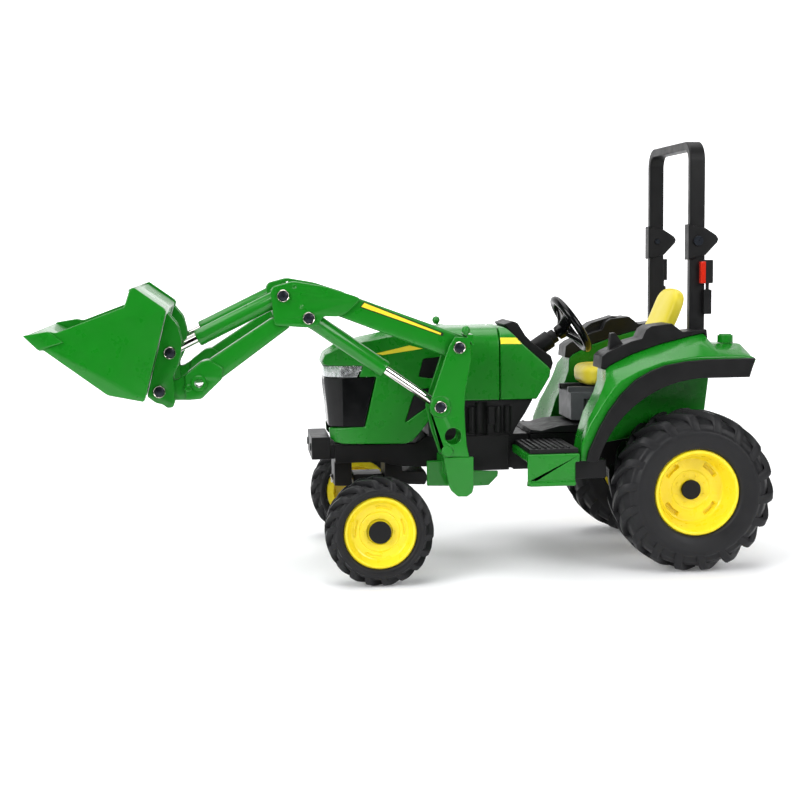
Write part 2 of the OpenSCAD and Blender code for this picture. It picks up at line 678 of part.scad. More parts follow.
module mast() color(green) difference() {
    union() {
        plate(arm_y + mast_gap / 2, mast_out, mast_outline);
        plate(mast_in, arm_y - mast_gap / 2, mast_outline);
        // Rear web between the plates, below the boom's eye.
        plate(mast_in, mast_out, at(boom_pivot, [[0.3, -15.3], [1.9, -15.3], [1.6, -21],
            [1.8, -26.7], [2.3, -33.5], [3.2, -37.6], [0.6, -37.6], [0, -26], [-0.1, -21]]));
        // Cap between the plates behind the pivot, which carries the knob.
        plate(mast_in, mast_out, at(boom_pivot, [[2.2, 4.4], [5, 4.4], [5.2, 0.8], [4.5, 0.8]]));
        // Raised rings round the cylinder pin and the fixing bolt.
        cross_bar(mast_link_pin, mast_out - 0.1, mast_out + 0.4, 3.6);
        cross_bar(boom_pivot + [-4.4, -35.4], mast_out - 0.1, mast_out + 0.7, 1.8);
    }
    cross_bar(mast_hole, mast_in - 1, mast_out + 2, mast_hole_r);
    cross_bar(mast_link_pin, mast_in - 1, mast_out + 2, pin_r + pin_fit);
    cross_bar(boom_pivot, mast_in - 1, mast_out + 2, pin_r + pin_fit);
    cross_bar(boom_pivot, arm_y - mast_gap / 2, arm_y + mast_gap / 2, 4.55);
}

module mast_left() placed() mirror([0, 1, 0]) mast();
module mast_right() placed() mast();

module mast_knobs() placed() color(green) both_sides()
    translate([boom_pivot[0] + 2.4, arm_y + mast_gap / 2 + 0.8, boom_pivot[1] + 4.4]) union() {
        cylinder(r = 0.9, h = 1);
        translate([0, 0, 1.5]) sphere(r = 1.5);
    }

foot_top = boom_pivot[1] - 37.6;
foot_x = boom_pivot[0] - 5.7;

module mast_brackets() placed() color(green) both_sides() union() {
    // Tongue below the mast.
    plate(mast_out - 2, mast_out, concat(at([foot_x, foot_top], [[0, 0], [1.6, -9.4],
        [2.6, -11.6], [4.8, -13.6], [8, -13.7], [9.8, -12.4], [10.3, -10.6], [10.3, 0]])));
    // Blade along the frame.
    plate(27.4, 29.4, at([foot_x, foot_top], [[-4.6, -11], [-4.6, -2.3], [1.8, -2.3], [3, -5.6],
        [11.7, -6.2], [20.5, -6.5], [20.2, -8.2], [17, -11.4], [11.7, -11.5]]));
    // Block that ties the bracket to the frame.
    translate([foot_x + 1, rail_half, foot_top - 6.6]) cube([8, mast_out - 1.5 - rail_half, 5]);
    translate([foot_x + 1.2, mast_in, foot_top - 2]) cube([7.6, mast_out - 1 - mast_in, 2]);
}

// A pin through both plates, with a round head at each end.
module pin(p, in, out) {
    union() {
        cross_bar(p, in - pin_head_t * 0.6, out + pin_head_t, pin_r);
        cross_bar(p, out, out + pin_head_t, pin_head_r);
        cross_bar(p, in - pin_head_t * 0.6, in, pin_head_r);
    }
}

module mast_pins() placed() color("silver") both_sides() {
    pin(boom_pivot, mast_in, mast_out);
    pin(mast_link_pin, mast_in, mast_out + 0.4);
}

// ---------------------------------------------------------------- boom

knee_outline = at(knee, [[-12.7, 9.2], [-11.6, 10.7], [-4.9, 12.4], [5.5, 10.5], [16.4, 6.9],
    [17.6, 6.1], [15.5, 4], [12.6, 1.4], [10.2, 0.3], [5.3, 0.5], [4.2, -0.4], [3.5, -2.2],
    [2.2, -3], [-1.1, -3.2], [-11.5, -2.3]]);
front_tube = concat(at(knee, [[-12.5, 0.1], [-6.6, 0.1], [-6.6, -3.2]]),
    at(bucket_pivot, [[20.7, 3.8], [14, 3], [14, 8], [16.8, 10.3]]));
rear_tube = concat(at(knee, [[10, 0.4], [10, 8.8], [16.5, 6.5]]),
    at(boom_pivot, [[-4.9, 6.3], [0, 4.2], [0, -4.2], [-4.7, -2.9]]),
    at(knee, [[10.2, 0.5]]));
casting_outline = at(bucket_pivot, [[8.6, -3.2], [13.9, -2.9], [21, 3.8], [21.4, 7.6],
    [16.8, 10.3], [14.3, 9.8], [8.6, 5.4]]);
casting_nose = at(bucket_pivot, [[0, -3], [9, -3.2], [9, 5.5], [6.1, 3.8], [0, 3]]);
casting_boss = bucket_pivot + [13.2, 2.5];
casting_small = bucket_pivot + [9.6, 0.9];

module boom_arm() color(green) difference() {
    union() {
        plate(arm_y + arm_w / 2, knee_out, knee_outline);
        plate(knee_in, arm_y - arm_w / 2, knee_outline);
        plate(arm_y - arm_w / 2, arm_y + arm_w / 2, front_tube);
        plate(arm_y - arm_w / 2, arm_y + arm_w / 2, rear_tube);
        cross_bar(boom_pivot, arm_y - arm_w / 2, arm_y + arm_w / 2, 4.2);
        plate(arm_y - 4, arm_y + 4, casting_outline);
        plate(arm_y - casting_w / 2, arm_y + casting_w / 2, casting_nose);
        cross_bar(bucket_pivot, arm_y - casting_w / 2, arm_y + casting_w / 2, 3);
        cross_bar(casting_boss, arm_y, arm_y + 4.6, 2.6);
        cross_bar(casting_small, arm_y, arm_y + 4.3, 1.2);
    }
    cross_bar(boom_pivot, knee_in, knee_out, pin_r + run_clear);
    cross_bar(bucket_pivot, knee_in, knee_out, pin_r + run_clear);
    cross_bar(casting_boss, arm_y + 2, knee_out + 2, 1.5);
    for (p = [knee, knee_top_pin])
        cross_bar(p, knee_in - 1, knee_out + 1, pin_r + pin_fit);
}

module boom_arm_left() placed() mirror([0, 1, 0]) boom_arm();
module boom_arm_right() placed() boom_arm();

module boom_cross_tube() placed() color(green)
    cross_bar(knee + [-8.8, 0], -knee_in, knee_in, 2.2);

// Each knee pin is a pair of short studs, so the cylinder's eye is free between them.
module knee_pins() placed() color("silver") both_sides() for (p = [knee, knee_top_pin]) {
    cross_bar(p, arm_y + arm_w / 2, knee_out, pin_r);
    cross_bar(p, knee_out, knee_out + pin_head_t, pin_head_r);
    cross_bar(p, knee_in, arm_y - arm_w / 2, pin_r);
    cross_bar(p, knee_in - pin_head_t * 0.6, knee_in, pin_head_r);
}

// ---------------------------------------------------------------- cylinders

module rod(p, d, length) difference() {
    union() {
        side_bar(p, d, 1.6, length, arm_y, rod_r);
        cross_bar(p, arm_y - eye_w / 2, arm_y + eye_w / 2, 2.6);
    }
    cross_bar(p, arm_y - eye_w, arm_y + eye_w, pin_r + run_clear);
}

module barrel(p, d, from, to, bore_end) difference() {
    union() {
        side_bar(p, d, from, to, arm_y, barrel_r);
        cross_bar(p + d * to, arm_y - eye_w / 2, arm_y + eye_w / 2, barrel_r - 0.2);
    }
    side_bar(p, d, from - 1, bore_end, arm_y, rod_r + run_clear);
}

module lift_rods() placed() color("silver") both_sides()
    rod(mast_link_pin, lift_dir, lift_rod_len);
module lift_barrels() placed() color(green) both_sides()
    barrel(mast_link_pin, lift_dir, lift_len - lift_barrel_len, lift_len, lift_len - 4.6);
module bucket_rods() placed() color("silver") both_sides()
    rod(bucket_link_pin, bucket_dir, bucket_rod_len);
module bucket_barrels() placed() color(green) both_sides()
    barrel(bucket_link_pin, bucket_dir, bucket_len - bucket_barrel_len, bucket_len,
        bucket_rod_len + 1.8);

// ---------------------------------------------------------------- bucket

bucket_side = at(bucket_pivot, [[-42.7, 20], [-37.6, 14.9], [-36.4, 15.2], [-16.2, 0],
    [-4.7, -2.4], [-4.1, -1.4], [3.4, 27.2], [2.9, 28.1], [-6.9, 35.2], [-8.2, 34.4],
    [-10.1, 28.8], [-32.2, 20.7], [-34.5, 21.3]]);
bucket_half = bucket_w / 2;
bt = bucket_t;

module bucket() placed() color(green) union() {
    both_sides() {
        plate(bucket_half - bt, bucket_half, bucket_side);
        // Thickened cutting corner.
        plate(bucket_half - 0.1, bucket_half + 0.7,
            at(bucket_pivot, [[-42.7, 20], [-37.8, 15.1], [-29.6, 17.7], [-34.5, 21.3]]));
    }
    // Floor, back and top lip, bent from one sheet.
    plate(-bucket_half + bt, bucket_half - bt, at(bucket_pivot, [[-42.5, 19.9], [-37.8, 15.7],
        [-36.2, 15.1], [-16.2, 0.3], [-4.8, -2], [-4.4, -1.4], [2.8, 26.8], [2.4, 27.4],
        [-7.2, 34.3], [-8, 33.3], [0.8, 26.4], [-5.6, -0.4], [-15.6, 1.7], [-36, 17]]));
}

// Ears on the bucket's back: one inside and one outside each arm.
ear_outline = at(bucket_pivot, [[-4.1, -1.6], [-1.2, -3.8], [1.2, -4.4], [2.4, -5.6],
    [4.4, -5.4], [5, -4], [5, 0], [4.7, 5], [6.5, 8.7], [7.5, 12.5], [7.8, 17.1], [6.5, 22.4],
    [3.3, 26.4], [2.8, 25.2]]);

module bucket_carrier() placed() color(green) both_sides() difference() {
    for (y = [arm_y + ear_gap / 2, arm_y - ear_gap / 2 - ear_t])
        plate(y, y + ear_t, ear_outline);
    for (p = [bucket_pivot, bucket_link_pin])
        cross_bar(p, 20, 45, pin_r + pin_fit);
}

module bucket_pins() placed() color("silver") both_sides()
    for (p = [bucket_pivot, bucket_link_pin])
        pin(p, arm_y - ear_gap / 2 - ear_t, arm_y + ear_gap / 2 + ear_t);

// ---------------------------------------------------------------- front axle

rock_pin_z = front_z + rock_pin_up + 6;

module front_axle() placed() color(black) difference() {
    union() {
        // Beam with its raised middle round the rocking pin.
        translate([-5.2, -kingpin_y - 3.2, front_z + 2.6]) cube([10.4, 2 * kingpin_y + 6.4, 5.4]);
        translate([-5.2, -6, front_z + 5]) cube([10.4, 12, 8.4]);
        both_sides() translate([0, kingpin_y, front_z + 2.6]) cylinder(r = 3.6, h = 5.4);
    }
    translate([-6, 0, rock_pin_z]) rotate([0, 90, 0]) cylinder(r = rock_pin_r + run_clear, h = 12);
    both_sides() translate([0, kingpin_y, front_z]) cylinder(r = kingpin_r + run_clear, h = 10);
}

module rocking_pin() placed() color("silver")
    translate([saddle_front - 0.8, 0, rock_pin_z]) rotate([0, 90, 0])
        cylinder(r = rock_pin_r, h = saddle_rear - saddle_front);

// Kingpin, stub shaft, end cap and the arm back to the tie rod, in one piece.
module knuckle() color(black) union() {
    translate([0, kingpin_y, front_z - 3.2]) cylinder(r = 3.2, h = 5.6);
    translate([0, kingpin_y, front_z]) cylinder(r = kingpin_r, h = 8.6);
    translate([0, kingpin_y, front_z + 8.2]) cylinder(r = 2.4, h = 1);
    translate([0, kingpin_y + 1, front_z]) rotate([-90, 0, 0])
        cylinder(r = axle_r, h = front_wheel_out - dish_depth_front - 0.4 - kingpin_y - 1);
    translate([0, front_wheel_out - dish_depth_front - 0.4, front_z]) rotate([-90, 0, 0])
        cylinder(r = 3.8, h = 1.3);
    translate([0, kingpin_y - 1.4, front_z - 2.8]) cube([steer_arm, 2.8, 2]);
    translate([steer_arm, kingpin_y, front_z - 2.8]) cylinder(r = 1.9, h = 2);
    translate([steer_arm, kingpin_y, front_z - 2.8]) cylinder(r = 0.8, h = 4.4);
}

module knuckle_left() placed() mirror([0, 1, 0]) knuckle();
module knuckle_right() placed() knuckle();

module tie_rod() placed() color(black) difference() {
    union() {
        translate([steer_arm, 0, front_z]) rotate([90, 0, 0])
            cylinder(r = 0.8, h = 2 * kingpin_y - 3, center = true);
        both_sides() translate([steer_arm, kingpin_y, front_z - 0.6]) cylinder(r = 2, h = 1.4);
    }
    both_sides() translate([steer_arm, kingpin_y, front_z - 2]) cylinder(r = 1.35, h = 4);
}

// ---------------------------------------------------------------- wheels

// Every wheel is turned about Y; out is the tyre's outer face.
module on_wheel(x, z) {
    translate([x, 0, z]) rotate([-90, 0, 0]) children();
}

// Rim: outer and inner lips, a barrel between them and a dished disc.
module rim(r, inner, outer, dish, slots) difference() {
    union() {
        rotate_extrude() polygon([[r - rim_t - 1.2, inner], [r, inner], [r, inner + 1.4],
            [r - 0.6, inner + 2.4], [r - 0.6, outer - 2.8], [r, outer - 1.8], [r, outer],
            [r - 1, outer], [r - rim_t - 0.6, outer - 2.4], [r - rim_t - 1.6, outer - dish + 1.2],
            [r * 0.5, outer - dish + 0.6], [r * 0.46, outer - dish], [axle_r + run_clear, outer - dish],
            [axle_r + run_clear, outer - dish - 5.4], [4.6, outer - dish - 5.4],
            [5, outer - dish - 1.4], [r - rim_t - 1.6, outer - dish - 1]]);
    }
    if (slots) for (a = [45:90:315]) rotate([0, 0, a])
        for (b = [-16:8:16]) rotate([0, 0, b])
            translate([r * 0.68, 0, outer - dish - 3]) cylinder(r = 0.9, h = 8);
}

// Tyre: a bulging carcass with two staggered rows of slanted bars.
module tyre(r, width, rim_r, inner, outer) union() {
    rotate_extrude() polygon([[rim_r + 0.05, inner + 1.6], [rim_r + 0.9, inner + 1.4],
        [rim_r + 2.6, inner + 0.5], [(rim_r + r) / 2, inner], [r - 3.2, inner + 0.5],
        [r - tread_h, inner + 2.4], [r - tread_h, outer - 2.4], [r - 3.2, outer - 0.5],
        [(rim_r + r) / 2, outer], [rim_r + 2.2, outer - 0.6], [rim_r + 0.05, outer - 2],
        [rim_r + 0.05, outer - 2.6]]);
    for (i = [0:tread_count - 1]) rotate([0, 0, 360 * i / tread_count])
        for (s = [0, 1]) rotate([0, 0, s * 180 / tread_count])
            translate([0, 0, (inner + outer) / 2]) mirror([0, 0, s]) intersection() {
                translate([0, 0, 0]) difference() {
                    cylinder(r = r, h = width / 2 - 0.7);
                    translate([0, 0, -1]) cylinder(r = r - tread_h - 0.3, h = width);
                }
                rotate([0, -90, 0]) translate([0, 0, -r - 1])
                    linear_extrude(height = r)
                        polygon([[0.2, -1.2], [0.2, 1.4], [width / 2, 4.4], [width / 2, 1.6]]);
            }
}

module front_rim() color(yellow) on_wheel(0, front_z)
    rim(front_rim_r, front_wheel_in + 1.4, front_wheel_out - rim_set_back, dish_depth_front, false);
module front_tyre() color(black) on_wheel(0, front_z)
    tyre(front_tyre_r, front_tyre_w, front_rim_r, front_wheel_in, front_wheel_out);
module rear_rim() color(yellow) on_wheel(rear_x, rear_z)
    rim(rear_rim_r, rear_wheel_in + 1.4, rear_wheel_out - rim_set_back, dish_depth_rear, true);
module rear_tyre() color(black) on_wheel(rear_x, rear_z)
    tyre(rear_tyre_r, rear_tyre_w, rear_rim_r, rear_wheel_in, rear_wheel_out);

module front_rim_left() placed() mirror([0, 1, 0]) front_rim();
module front_rim_right() placed() front_rim();
module front_tyre_left() placed() mirror([0, 1, 0]) front_tyre();
module front_tyre_right() placed() front_tyre();
module rear_rim_left() placed() mirror([0, 1, 0]) rear_rim();
module rear_rim_right() placed() rear_rim();
module rear_tyre_left() placed() mirror([0, 1, 0]) rear_tyre();
module rear_tyre_right() placed() rear_tyre();

chassis_frame();
front_bumper();
engine_block();
rear_axle_housing();
rear_axle_shaft();
rear_hub_caps();
drawbar();
hood();
grille();
headlights();
hood_vents();
cowl();
dash_panel();
steering_column();
steering_wheel();
floor_deck();
floor_mats();
fender_left();
fender_right();
fender_trim_left();
fender_trim_right();
console_left();
console_right();
fuel_cap();
seat_base();
seat();
rops_posts();
rops_pins();
rops_hoop();
rear_lamps();
mast_left();
mast_right();
mast_knobs();
mast_brackets();
mast_pins();
boom_arm_left();
boom_arm_right();
boom_cross_tube();
knee_pins();
lift_rods();
lift_barrels();
bucket_rods();
bucket_barrels();
bucket();
bucket_carrier();
bucket_pins();
front_axle();
rocking_pin();
knuckle_left();
knuckle_right();
tie_rod();
front_rim_left();
front_rim_right();
front_tyre_left();
front_tyre_right();
rear_rim_left();
rear_rim_right();
rear_tyre_left();
rear_tyre_right();
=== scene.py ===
"""Looks for a toy compact tractor with a front loader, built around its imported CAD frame.

Lengths in this script are millimetres in the row frame: +X to the tractor's rear, +Y to its right,
+Z up. They are turned to metres where a mesh is made.
"""

import json
import math

import bmesh
import bpy
import numpy as np
from bpy.props import FloatProperty, FloatVectorProperty, IntProperty, PointerProperty, StringProperty
from mathutils import Matrix, Vector
from mathutils.geometry import tessellate_polygon


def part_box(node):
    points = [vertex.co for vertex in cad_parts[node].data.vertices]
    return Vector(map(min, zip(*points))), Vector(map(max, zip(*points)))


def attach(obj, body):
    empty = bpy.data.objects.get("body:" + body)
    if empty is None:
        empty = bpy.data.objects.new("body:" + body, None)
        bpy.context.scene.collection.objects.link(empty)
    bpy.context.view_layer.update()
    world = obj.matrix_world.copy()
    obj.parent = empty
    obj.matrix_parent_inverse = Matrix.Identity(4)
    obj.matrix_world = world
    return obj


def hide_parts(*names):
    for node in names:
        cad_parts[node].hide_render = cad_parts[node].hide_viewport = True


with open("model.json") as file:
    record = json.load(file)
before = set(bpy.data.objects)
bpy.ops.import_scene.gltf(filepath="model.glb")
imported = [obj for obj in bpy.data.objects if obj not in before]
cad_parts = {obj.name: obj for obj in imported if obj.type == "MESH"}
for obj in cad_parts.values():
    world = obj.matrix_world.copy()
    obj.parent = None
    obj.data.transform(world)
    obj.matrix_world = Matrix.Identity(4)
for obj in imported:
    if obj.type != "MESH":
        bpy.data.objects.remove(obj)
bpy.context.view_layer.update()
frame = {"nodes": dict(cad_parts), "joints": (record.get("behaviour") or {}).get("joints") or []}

bl_info = {
    "name": "Toy front loader",
    "version": (1, 0, 0),
    "blender": (4, 5, 0),
    "location": "3D View > Sidebar > Toy Loader",
    "description": "Makes the pieces, finishes and stage of a toy compact tractor with a front loader",
    "category": "Object",
}

MM = 0.001
JOINTS = {joint["name"]: joint for joint in frame["joints"]}


# ---------------------------------------------------------------- places from the frame


def pivot(joint):
    """The side-view point (x, z) of a joint."""
    x, _, z = JOINTS[joint]["pos_m"]
    return np.array([x, z]) / MM


def extent(node):
    """The lowest and highest corners of a CAD node."""
    low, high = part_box(node)
    return np.array(low) / MM, np.array(high) / MM


BOOM = pivot("boom_lift")
BUCKET = pivot("bucket_tilt")
ROD_PIN = pivot("bucket_rod_swing")
MAST_PIN = pivot("lift_rod_swing")
FRONT = pivot("front_wheel_left_spin")
REAR = pivot("rear_wheel_left_spin")
KNEE = BOOM + [-50.8, 10.8]
KNEE_TOP = KNEE + [-8.5, 7.6]
ARM_Y = 32.0
# The ground below the front axle, from which the strips' side-view corners are counted.
GROUND = np.array([FRONT[0], 0.0])
# How far out a strip starts before it is drawn onto its surface.
STRIP_START = 60.0


# ---------------------------------------------------------------- shapes
# A shape is a pair: its points, and its faces as lists of point numbers.


def at(anchor, outline):
    """An outline's points counted from an anchor point."""
    return np.asarray(outline, float) + anchor


def arc(centre, radius, start, stop, count=12):
    """Points of a circular arc between two angles in degrees."""
    a = np.radians(np.linspace(start, stop, count))
    return np.asarray(centre, float) + radius * np.stack([np.cos(a), np.sin(a)], -1)


def rounded(outline, radius, steps=5):
    """A closed outline with each corner replaced by a quadratic curve that leaves one side `radius`
    before the corner and joins the other `radius` after it, or less where a side is short."""
    p = np.asarray(outline, float)
    back, ahead = np.roll(p, 1, 0) - p, np.roll(p, -1, 0) - p
    len_back, len_ahead = np.linalg.norm(back, axis=1), np.linalg.norm(ahead, axis=1)
    cut = np.minimum(np.broadcast_to(radius, len(p)), 0.48 * np.minimum(len_back, len_ahead))[:, None]
    start, end = p + back / len_back[:, None] * cut, p + ahead / len_ahead[:, None] * cut
    t = np.linspace(0, 1, steps)[None, :, None]
    return ((1 - t) ** 2 * start[:, None] + 2 * t * (1 - t) * p[:, None] + t**2 * end[:, None]).reshape(-1, 2)


def counterclockwise(outline):
    """The outline with its inside on the left, found from the sign of its area."""
    x, z = outline[:, 0], outline[:, 1]
    area = np.sum(x * np.roll(z, -1) - np.roll(x, -1) * z)
    return outline if area > 0 else outline[::-1]


def inset(outline, depth):
    """A closed outline moved inwards: each corner slides along the mitre of its two sides."""
    before = outline - np.roll(outline, 1, 0)
    after = np.roll(outline, -1, 0) - outline
    n1 = np.stack([-before[:, 1], before[:, 0]], -1) / np.linalg.norm(before, axis=1)[:, None]
    n2 = np.stack([-after[:, 1], after[:, 0]], -1) / np.linalg.norm(after, axis=1)[:, None]
    spread = np.maximum(1 + np.sum(n1 * n2, -1), 0.35)[:, None]
    return outline + depth * (n1 + n2) / spread


def grid(points, wrap_u=False, wrap_v=False, caps=False):
    """Quads over a grid of points. Each point is joined to the next along both parameters, and caps
    closes the first and last rows with one face each."""
    nu, nv = points.shape[:2]
    u = np.arange(nu if wrap_u else nu - 1)[:, None]
    v = np.arange(nv if wrap_v else nv - 1)[None, :]
    u2, v2 = (u + 1) % nu, (v + 1) % nv
    faces = np.stack([u * nv + v, u2 * nv + v, u2 * nv + v2, u * nv + v2], -1).reshape(-1, 4).tolist()
    if caps:
        faces += [list(range(nv)), list(range((nu - 1) * nv, nu * nv))]
    return points.reshape(-1, 3), faces


def join(*shapes):
    """Several shapes as one."""
    points, faces, count = [], [], 0
    for p, f in shapes:
        points.append(p)
        faces += [[i + count for i in face] for face in f]
        count += len(p)
    return np.concatenate(points), faces


def mirrored(shape):
    """A shape on the other side of the middle plane."""
    return shape[0] * [1, -1, 1], shape[1]


def both(shape):
    """A shape and its mirror image across the middle plane."""
    return join(shape, mirrored(shape))


def copies(points, faces):
    """One shape from an array of copies of the same points, shape (copies, points, 3)."""
    n, m = points.shape[:2]
    return points.reshape(-1, 3), [[i + k * m for i in face] for k in range(n) for face in faces]


def quarter_round(low, high, soft, steps=4):
    """Levels (place, inset) across a plate whose two rims are quarter rounds of radius soft: at angle a
    the outline is inset by soft (1 - cos a) and lies soft (1 - sin a) in from the plate's face."""
    a = np.radians(np.linspace(0, 90, steps))
    rim = np.stack([high - soft * (1 - np.sin(a)), soft * (1 - np.cos(a))], -1)
    foot = np.stack([low + soft * (1 - np.sin(a)), soft * (1 - np.cos(a))], -1)
    return np.concatenate([foot[::-1], rim])


def layered(outline, levels, holes=()):
    """A solid across Y: the side-view outline drawn at each level (y, inset) and joined. A hole is
    (centre, radius), and it widens by the same inset."""
    outline = counterclockwise(np.asarray(outline, float))
    levels = np.asarray(levels, float)

    def ring_at(flat, y):
        return np.insert(flat, 1, y, axis=1)

    rings = np.stack([ring_at(inset(outline, d), y) for y, d in levels])
    shapes = [grid(rings, wrap_v=True)]
    loops = [rings]
    for centre, radius in holes:
        bore = np.stack([ring_at(arc(centre, radius + d, 0, 360, 33)[:-1], y) for y, d in levels])
        shapes.append(grid(bore, wrap_v=True))
        loops.append(bore)
    starts = np.cumsum([0] + [ring.shape[0] * ring.shape[1] for ring in loops])
    points, faces = join(*shapes)
    for row in (0, len(levels) - 1):
        names = np.concatenate([starts[i] + row * ring.shape[1] + np.arange(ring.shape[1])
                                for i, ring in enumerate(loops)])
        flat = [[Vector((x, z, 0)) for x, _, z in ring[row]] for ring in loops]
        faces += [[int(names[i]) for i in tri] for tri in tessellate_polygon(flat)]
    return points, faces


def plate(outline, y0, y1, soft=0.3, holes=()):
    """A flat plate between y0 and y1 with rounded rims."""
    soft = min(soft, 0.45 * (y1 - y0))
    return layered(outline, quarter_round(y0, y1, soft), holes)


def lathe(profile, centre, axis=(0, 1, 0), steps=72):
    """A profile of (radius, distance along the axis) turned round an axis through centre: the point at
    angle a is centre + distance * axis + radius * (cos a * first side + sin a * second side)."""
    axis = np.asarray(axis, float) / np.linalg.norm(axis)
    side = np.cross(axis, [0, 0, 1] if abs(axis[2]) < 0.9 else [1, 0, 0])
    side /= np.linalg.norm(side)
    other = np.cross(axis, side)
    profile = np.asarray(profile, float)
    a = np.linspace(0, 2 * np.pi, steps, endpoint=False)[:, None, None]
    radius, along = profile[:, 0][None, :, None], profile[:, 1][None, :, None]
    points = np.asarray(centre, float) + along * axis + radius * (np.cos(a) * side + np.sin(a) * other)
    return grid(points, wrap_u=True, wrap_v=False)


def turned(profile, centre, axis=(0, 1, 0), steps=72):
    """A closed profile turned round an axis."""
    profile = np.asarray(profile, float)
    return lathe(np.concatenate([profile, profile[:1]]), centre, axis, steps)


def bar(start, end, radius, soft=0.25, steps=40):
    """A round bar with rounded ends between two points in space."""
    start, end = np.asarray(start, float), np.asarray(end, float)
    length = np.linalg.norm(end - start)
    levels = quarter_round(0, length, soft, 3)
    profile = [(0, 0)] + [(radius - d, s) for s, d in levels] + [(0, length)]
    return lathe(profile, start, end - start, steps)


def brick(low, high, soft=0.4):
    """A block between two corners, with its edges rounded along X and Z and across Y."""
    (x0, y0, z0), (x1, y1, z1) = low, high
    return plate(rounded([[x0, z0], [x1, z0], [x1, z1], [x0, z1]], soft * 1.5, 4), y0, y1, soft)


def swept(section, path, side):
    """A closed section (across, up) carried along a path. At each point `across` runs along the
    constant direction side, and `up` runs square to both side and the path."""
    path, side = np.asarray(path, float), np.asarray(side, float)
    along = np.gradient(path, axis=0)
    along /= np.linalg.norm(along, axis=1)[:, None]
    up = np.cross(along, side)
    up /= np.linalg.norm(up, axis=1)[:, None]
    section = np.asarray(section, float)
    points = path[:, None] + section[None, :, :1] * side + section[None, :, 1:] * up[:, None]
    return grid(points, wrap_v=True, caps=True)


def through(stations, values, x):
    """A smooth curve through values at stations, as cubic Hermite pieces whose slopes are the mean
    slopes of the neighbouring stations."""
    stations, values = np.asarray(stations, float), np.asarray(values, float)
    slopes = np.gradient(values, stations, axis=0)
    x = np.clip(np.asarray(x, float), stations[0], stations[-1])
    i = np.clip(np.searchsorted(stations, x) - 1, 0, len(stations) - 2)
    h = stations[i + 1] - stations[i]
    t = (x - stations[i]) / h
    if values.ndim > 1:
        extra = (1,) * (values.ndim - 1)
        h, t = h.reshape(-1, *extra), t.reshape(-1, *extra)
    return ((1 + 2 * t) * (1 - t) ** 2 * values[i] + t * (1 - t) ** 2 * h * slopes[i]
            + t**2 * (3 - 2 * t) * values[i + 1] + t**2 * (t - 1) * h * slopes[i + 1])


# ---------------------------------------------------------------- Blender objects


def new_object(name, shape):
    """A mesh object from a shape: equal points are merged and its faces point outwards."""
    points, faces = shape
    mesh = bpy.data.meshes.new(name)
    mesh.from_pydata((np.asarray(points) * MM).tolist(), [], faces)
    work = bmesh.new()
    work.from_mesh(mesh)
    bmesh.ops.remove_doubles(work, verts=work.verts, dist=2e-7)
    bmesh.ops.dissolve_degenerate(work, edges=work.edges, dist=1e-8)
    bmesh.ops.recalc_face_normals(work, faces=work.faces)
    work.to_mesh(mesh)
    work.free()
    piece = bpy.data.objects.new(name, mesh)
    bpy.context.scene.collection.objects.link(piece)
    return piece


def smooth_shade(piece, angle=32):
    """Smooth shading that keeps edges sharper than the angle."""
    piece.data.shade_smooth()
    piece.data.set_sharp_from_angle(angle=math.radians(angle))


def place(piece, body, slot, material, *nodes):
    """Gives a finished piece its body and material, and hides the CAD nodes it stands for. The slot is not
    used.
    """
    piece.data.materials.clear()
    piece.data.materials.append(MATERIALS[material])
    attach(piece, body)
    if nodes:
        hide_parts(*nodes)
    return piece


def make(name, shape, body, slot, material, *nodes, angle=32):
    """A new piece from a shape, placed and shaded."""
    piece = new_object(name, shape)
    smooth_shade(piece, angle)
    return place(piece, body, slot, material, *nodes)


def softened(node, width, body, slot, material, angle=35, name=None):
    """A copy of a CAD node with its equal points merged, flat faces joined and edges rounded by width."""
    source = frame["nodes"][node]
    piece = bpy.data.objects.new(name or "soft_" + node, source.data.copy())
    bpy.context.scene.collection.objects.link(piece)
    work = bmesh.new()
    work.from_mesh(piece.data)
    bmesh.ops.remove_doubles(work, verts=work.verts, dist=2e-6)
    bmesh.ops.dissolve_limit(work, angle_limit=math.radians(0.6), verts=work.verts, edges=work.edges)
    work.to_mesh(piece.data)
    work.free()
    smooth_shade(piece, angle)
    rounding = piece.modifiers.new("rounded edges", "BEVEL")
    rounding.width = width * MM
    rounding.segments = 3
    rounding.limit_method = "ANGLE"
    rounding.angle_limit = math.radians(angle)
    rounding.use_clamp_overlap = False
    rounding.harden_normals = True
    rounding.miter_outer = "MITER_ARC"
    return place(piece, body, slot, material, node)


# ---------------------------------------------------------------- materials

MATERIALS = {}


def linear(code):
    """An sRGB hex colour such as #1E8A28 as linear red, green, blue and alpha."""
    parts = np.array([int(code[i:i + 2], 16) for i in (1, 3, 5)]) / 255
    low, high = parts / 12.92, ((parts + 0.055) / 1.055) ** 2.4
    return (*np.where(parts <= 0.04045, low, high).tolist(), 1.0)


def add(tree, kind, inputs=None, **settings):
    """Adds a shader node. Settings are its properties, and each input is a value or a socket to link."""
    node = tree.nodes.new("ShaderNode" + kind)
    for key, value in settings.items():
        setattr(node, key, value)
    for key, value in (inputs or {}).items():
        if isinstance(value, bpy.types.NodeSocket):
            tree.links.new(value, node.inputs[key])
        else:
            node.inputs[key].default_value = value
    return node


def blank(name, **shader):
    """A new material's node tree, its principled shader and its object coordinates."""
    material = bpy.data.materials.new(name)
    material.use_nodes = True
    tree = material.node_tree
    principled = tree.nodes["Principled BSDF"]
    for key, value in shader.items():
        principled.inputs[key.replace("_", " ")].default_value = value
    MATERIALS[name] = material
    return tree, principled, add(tree, "TexCoord").outputs["Object"]


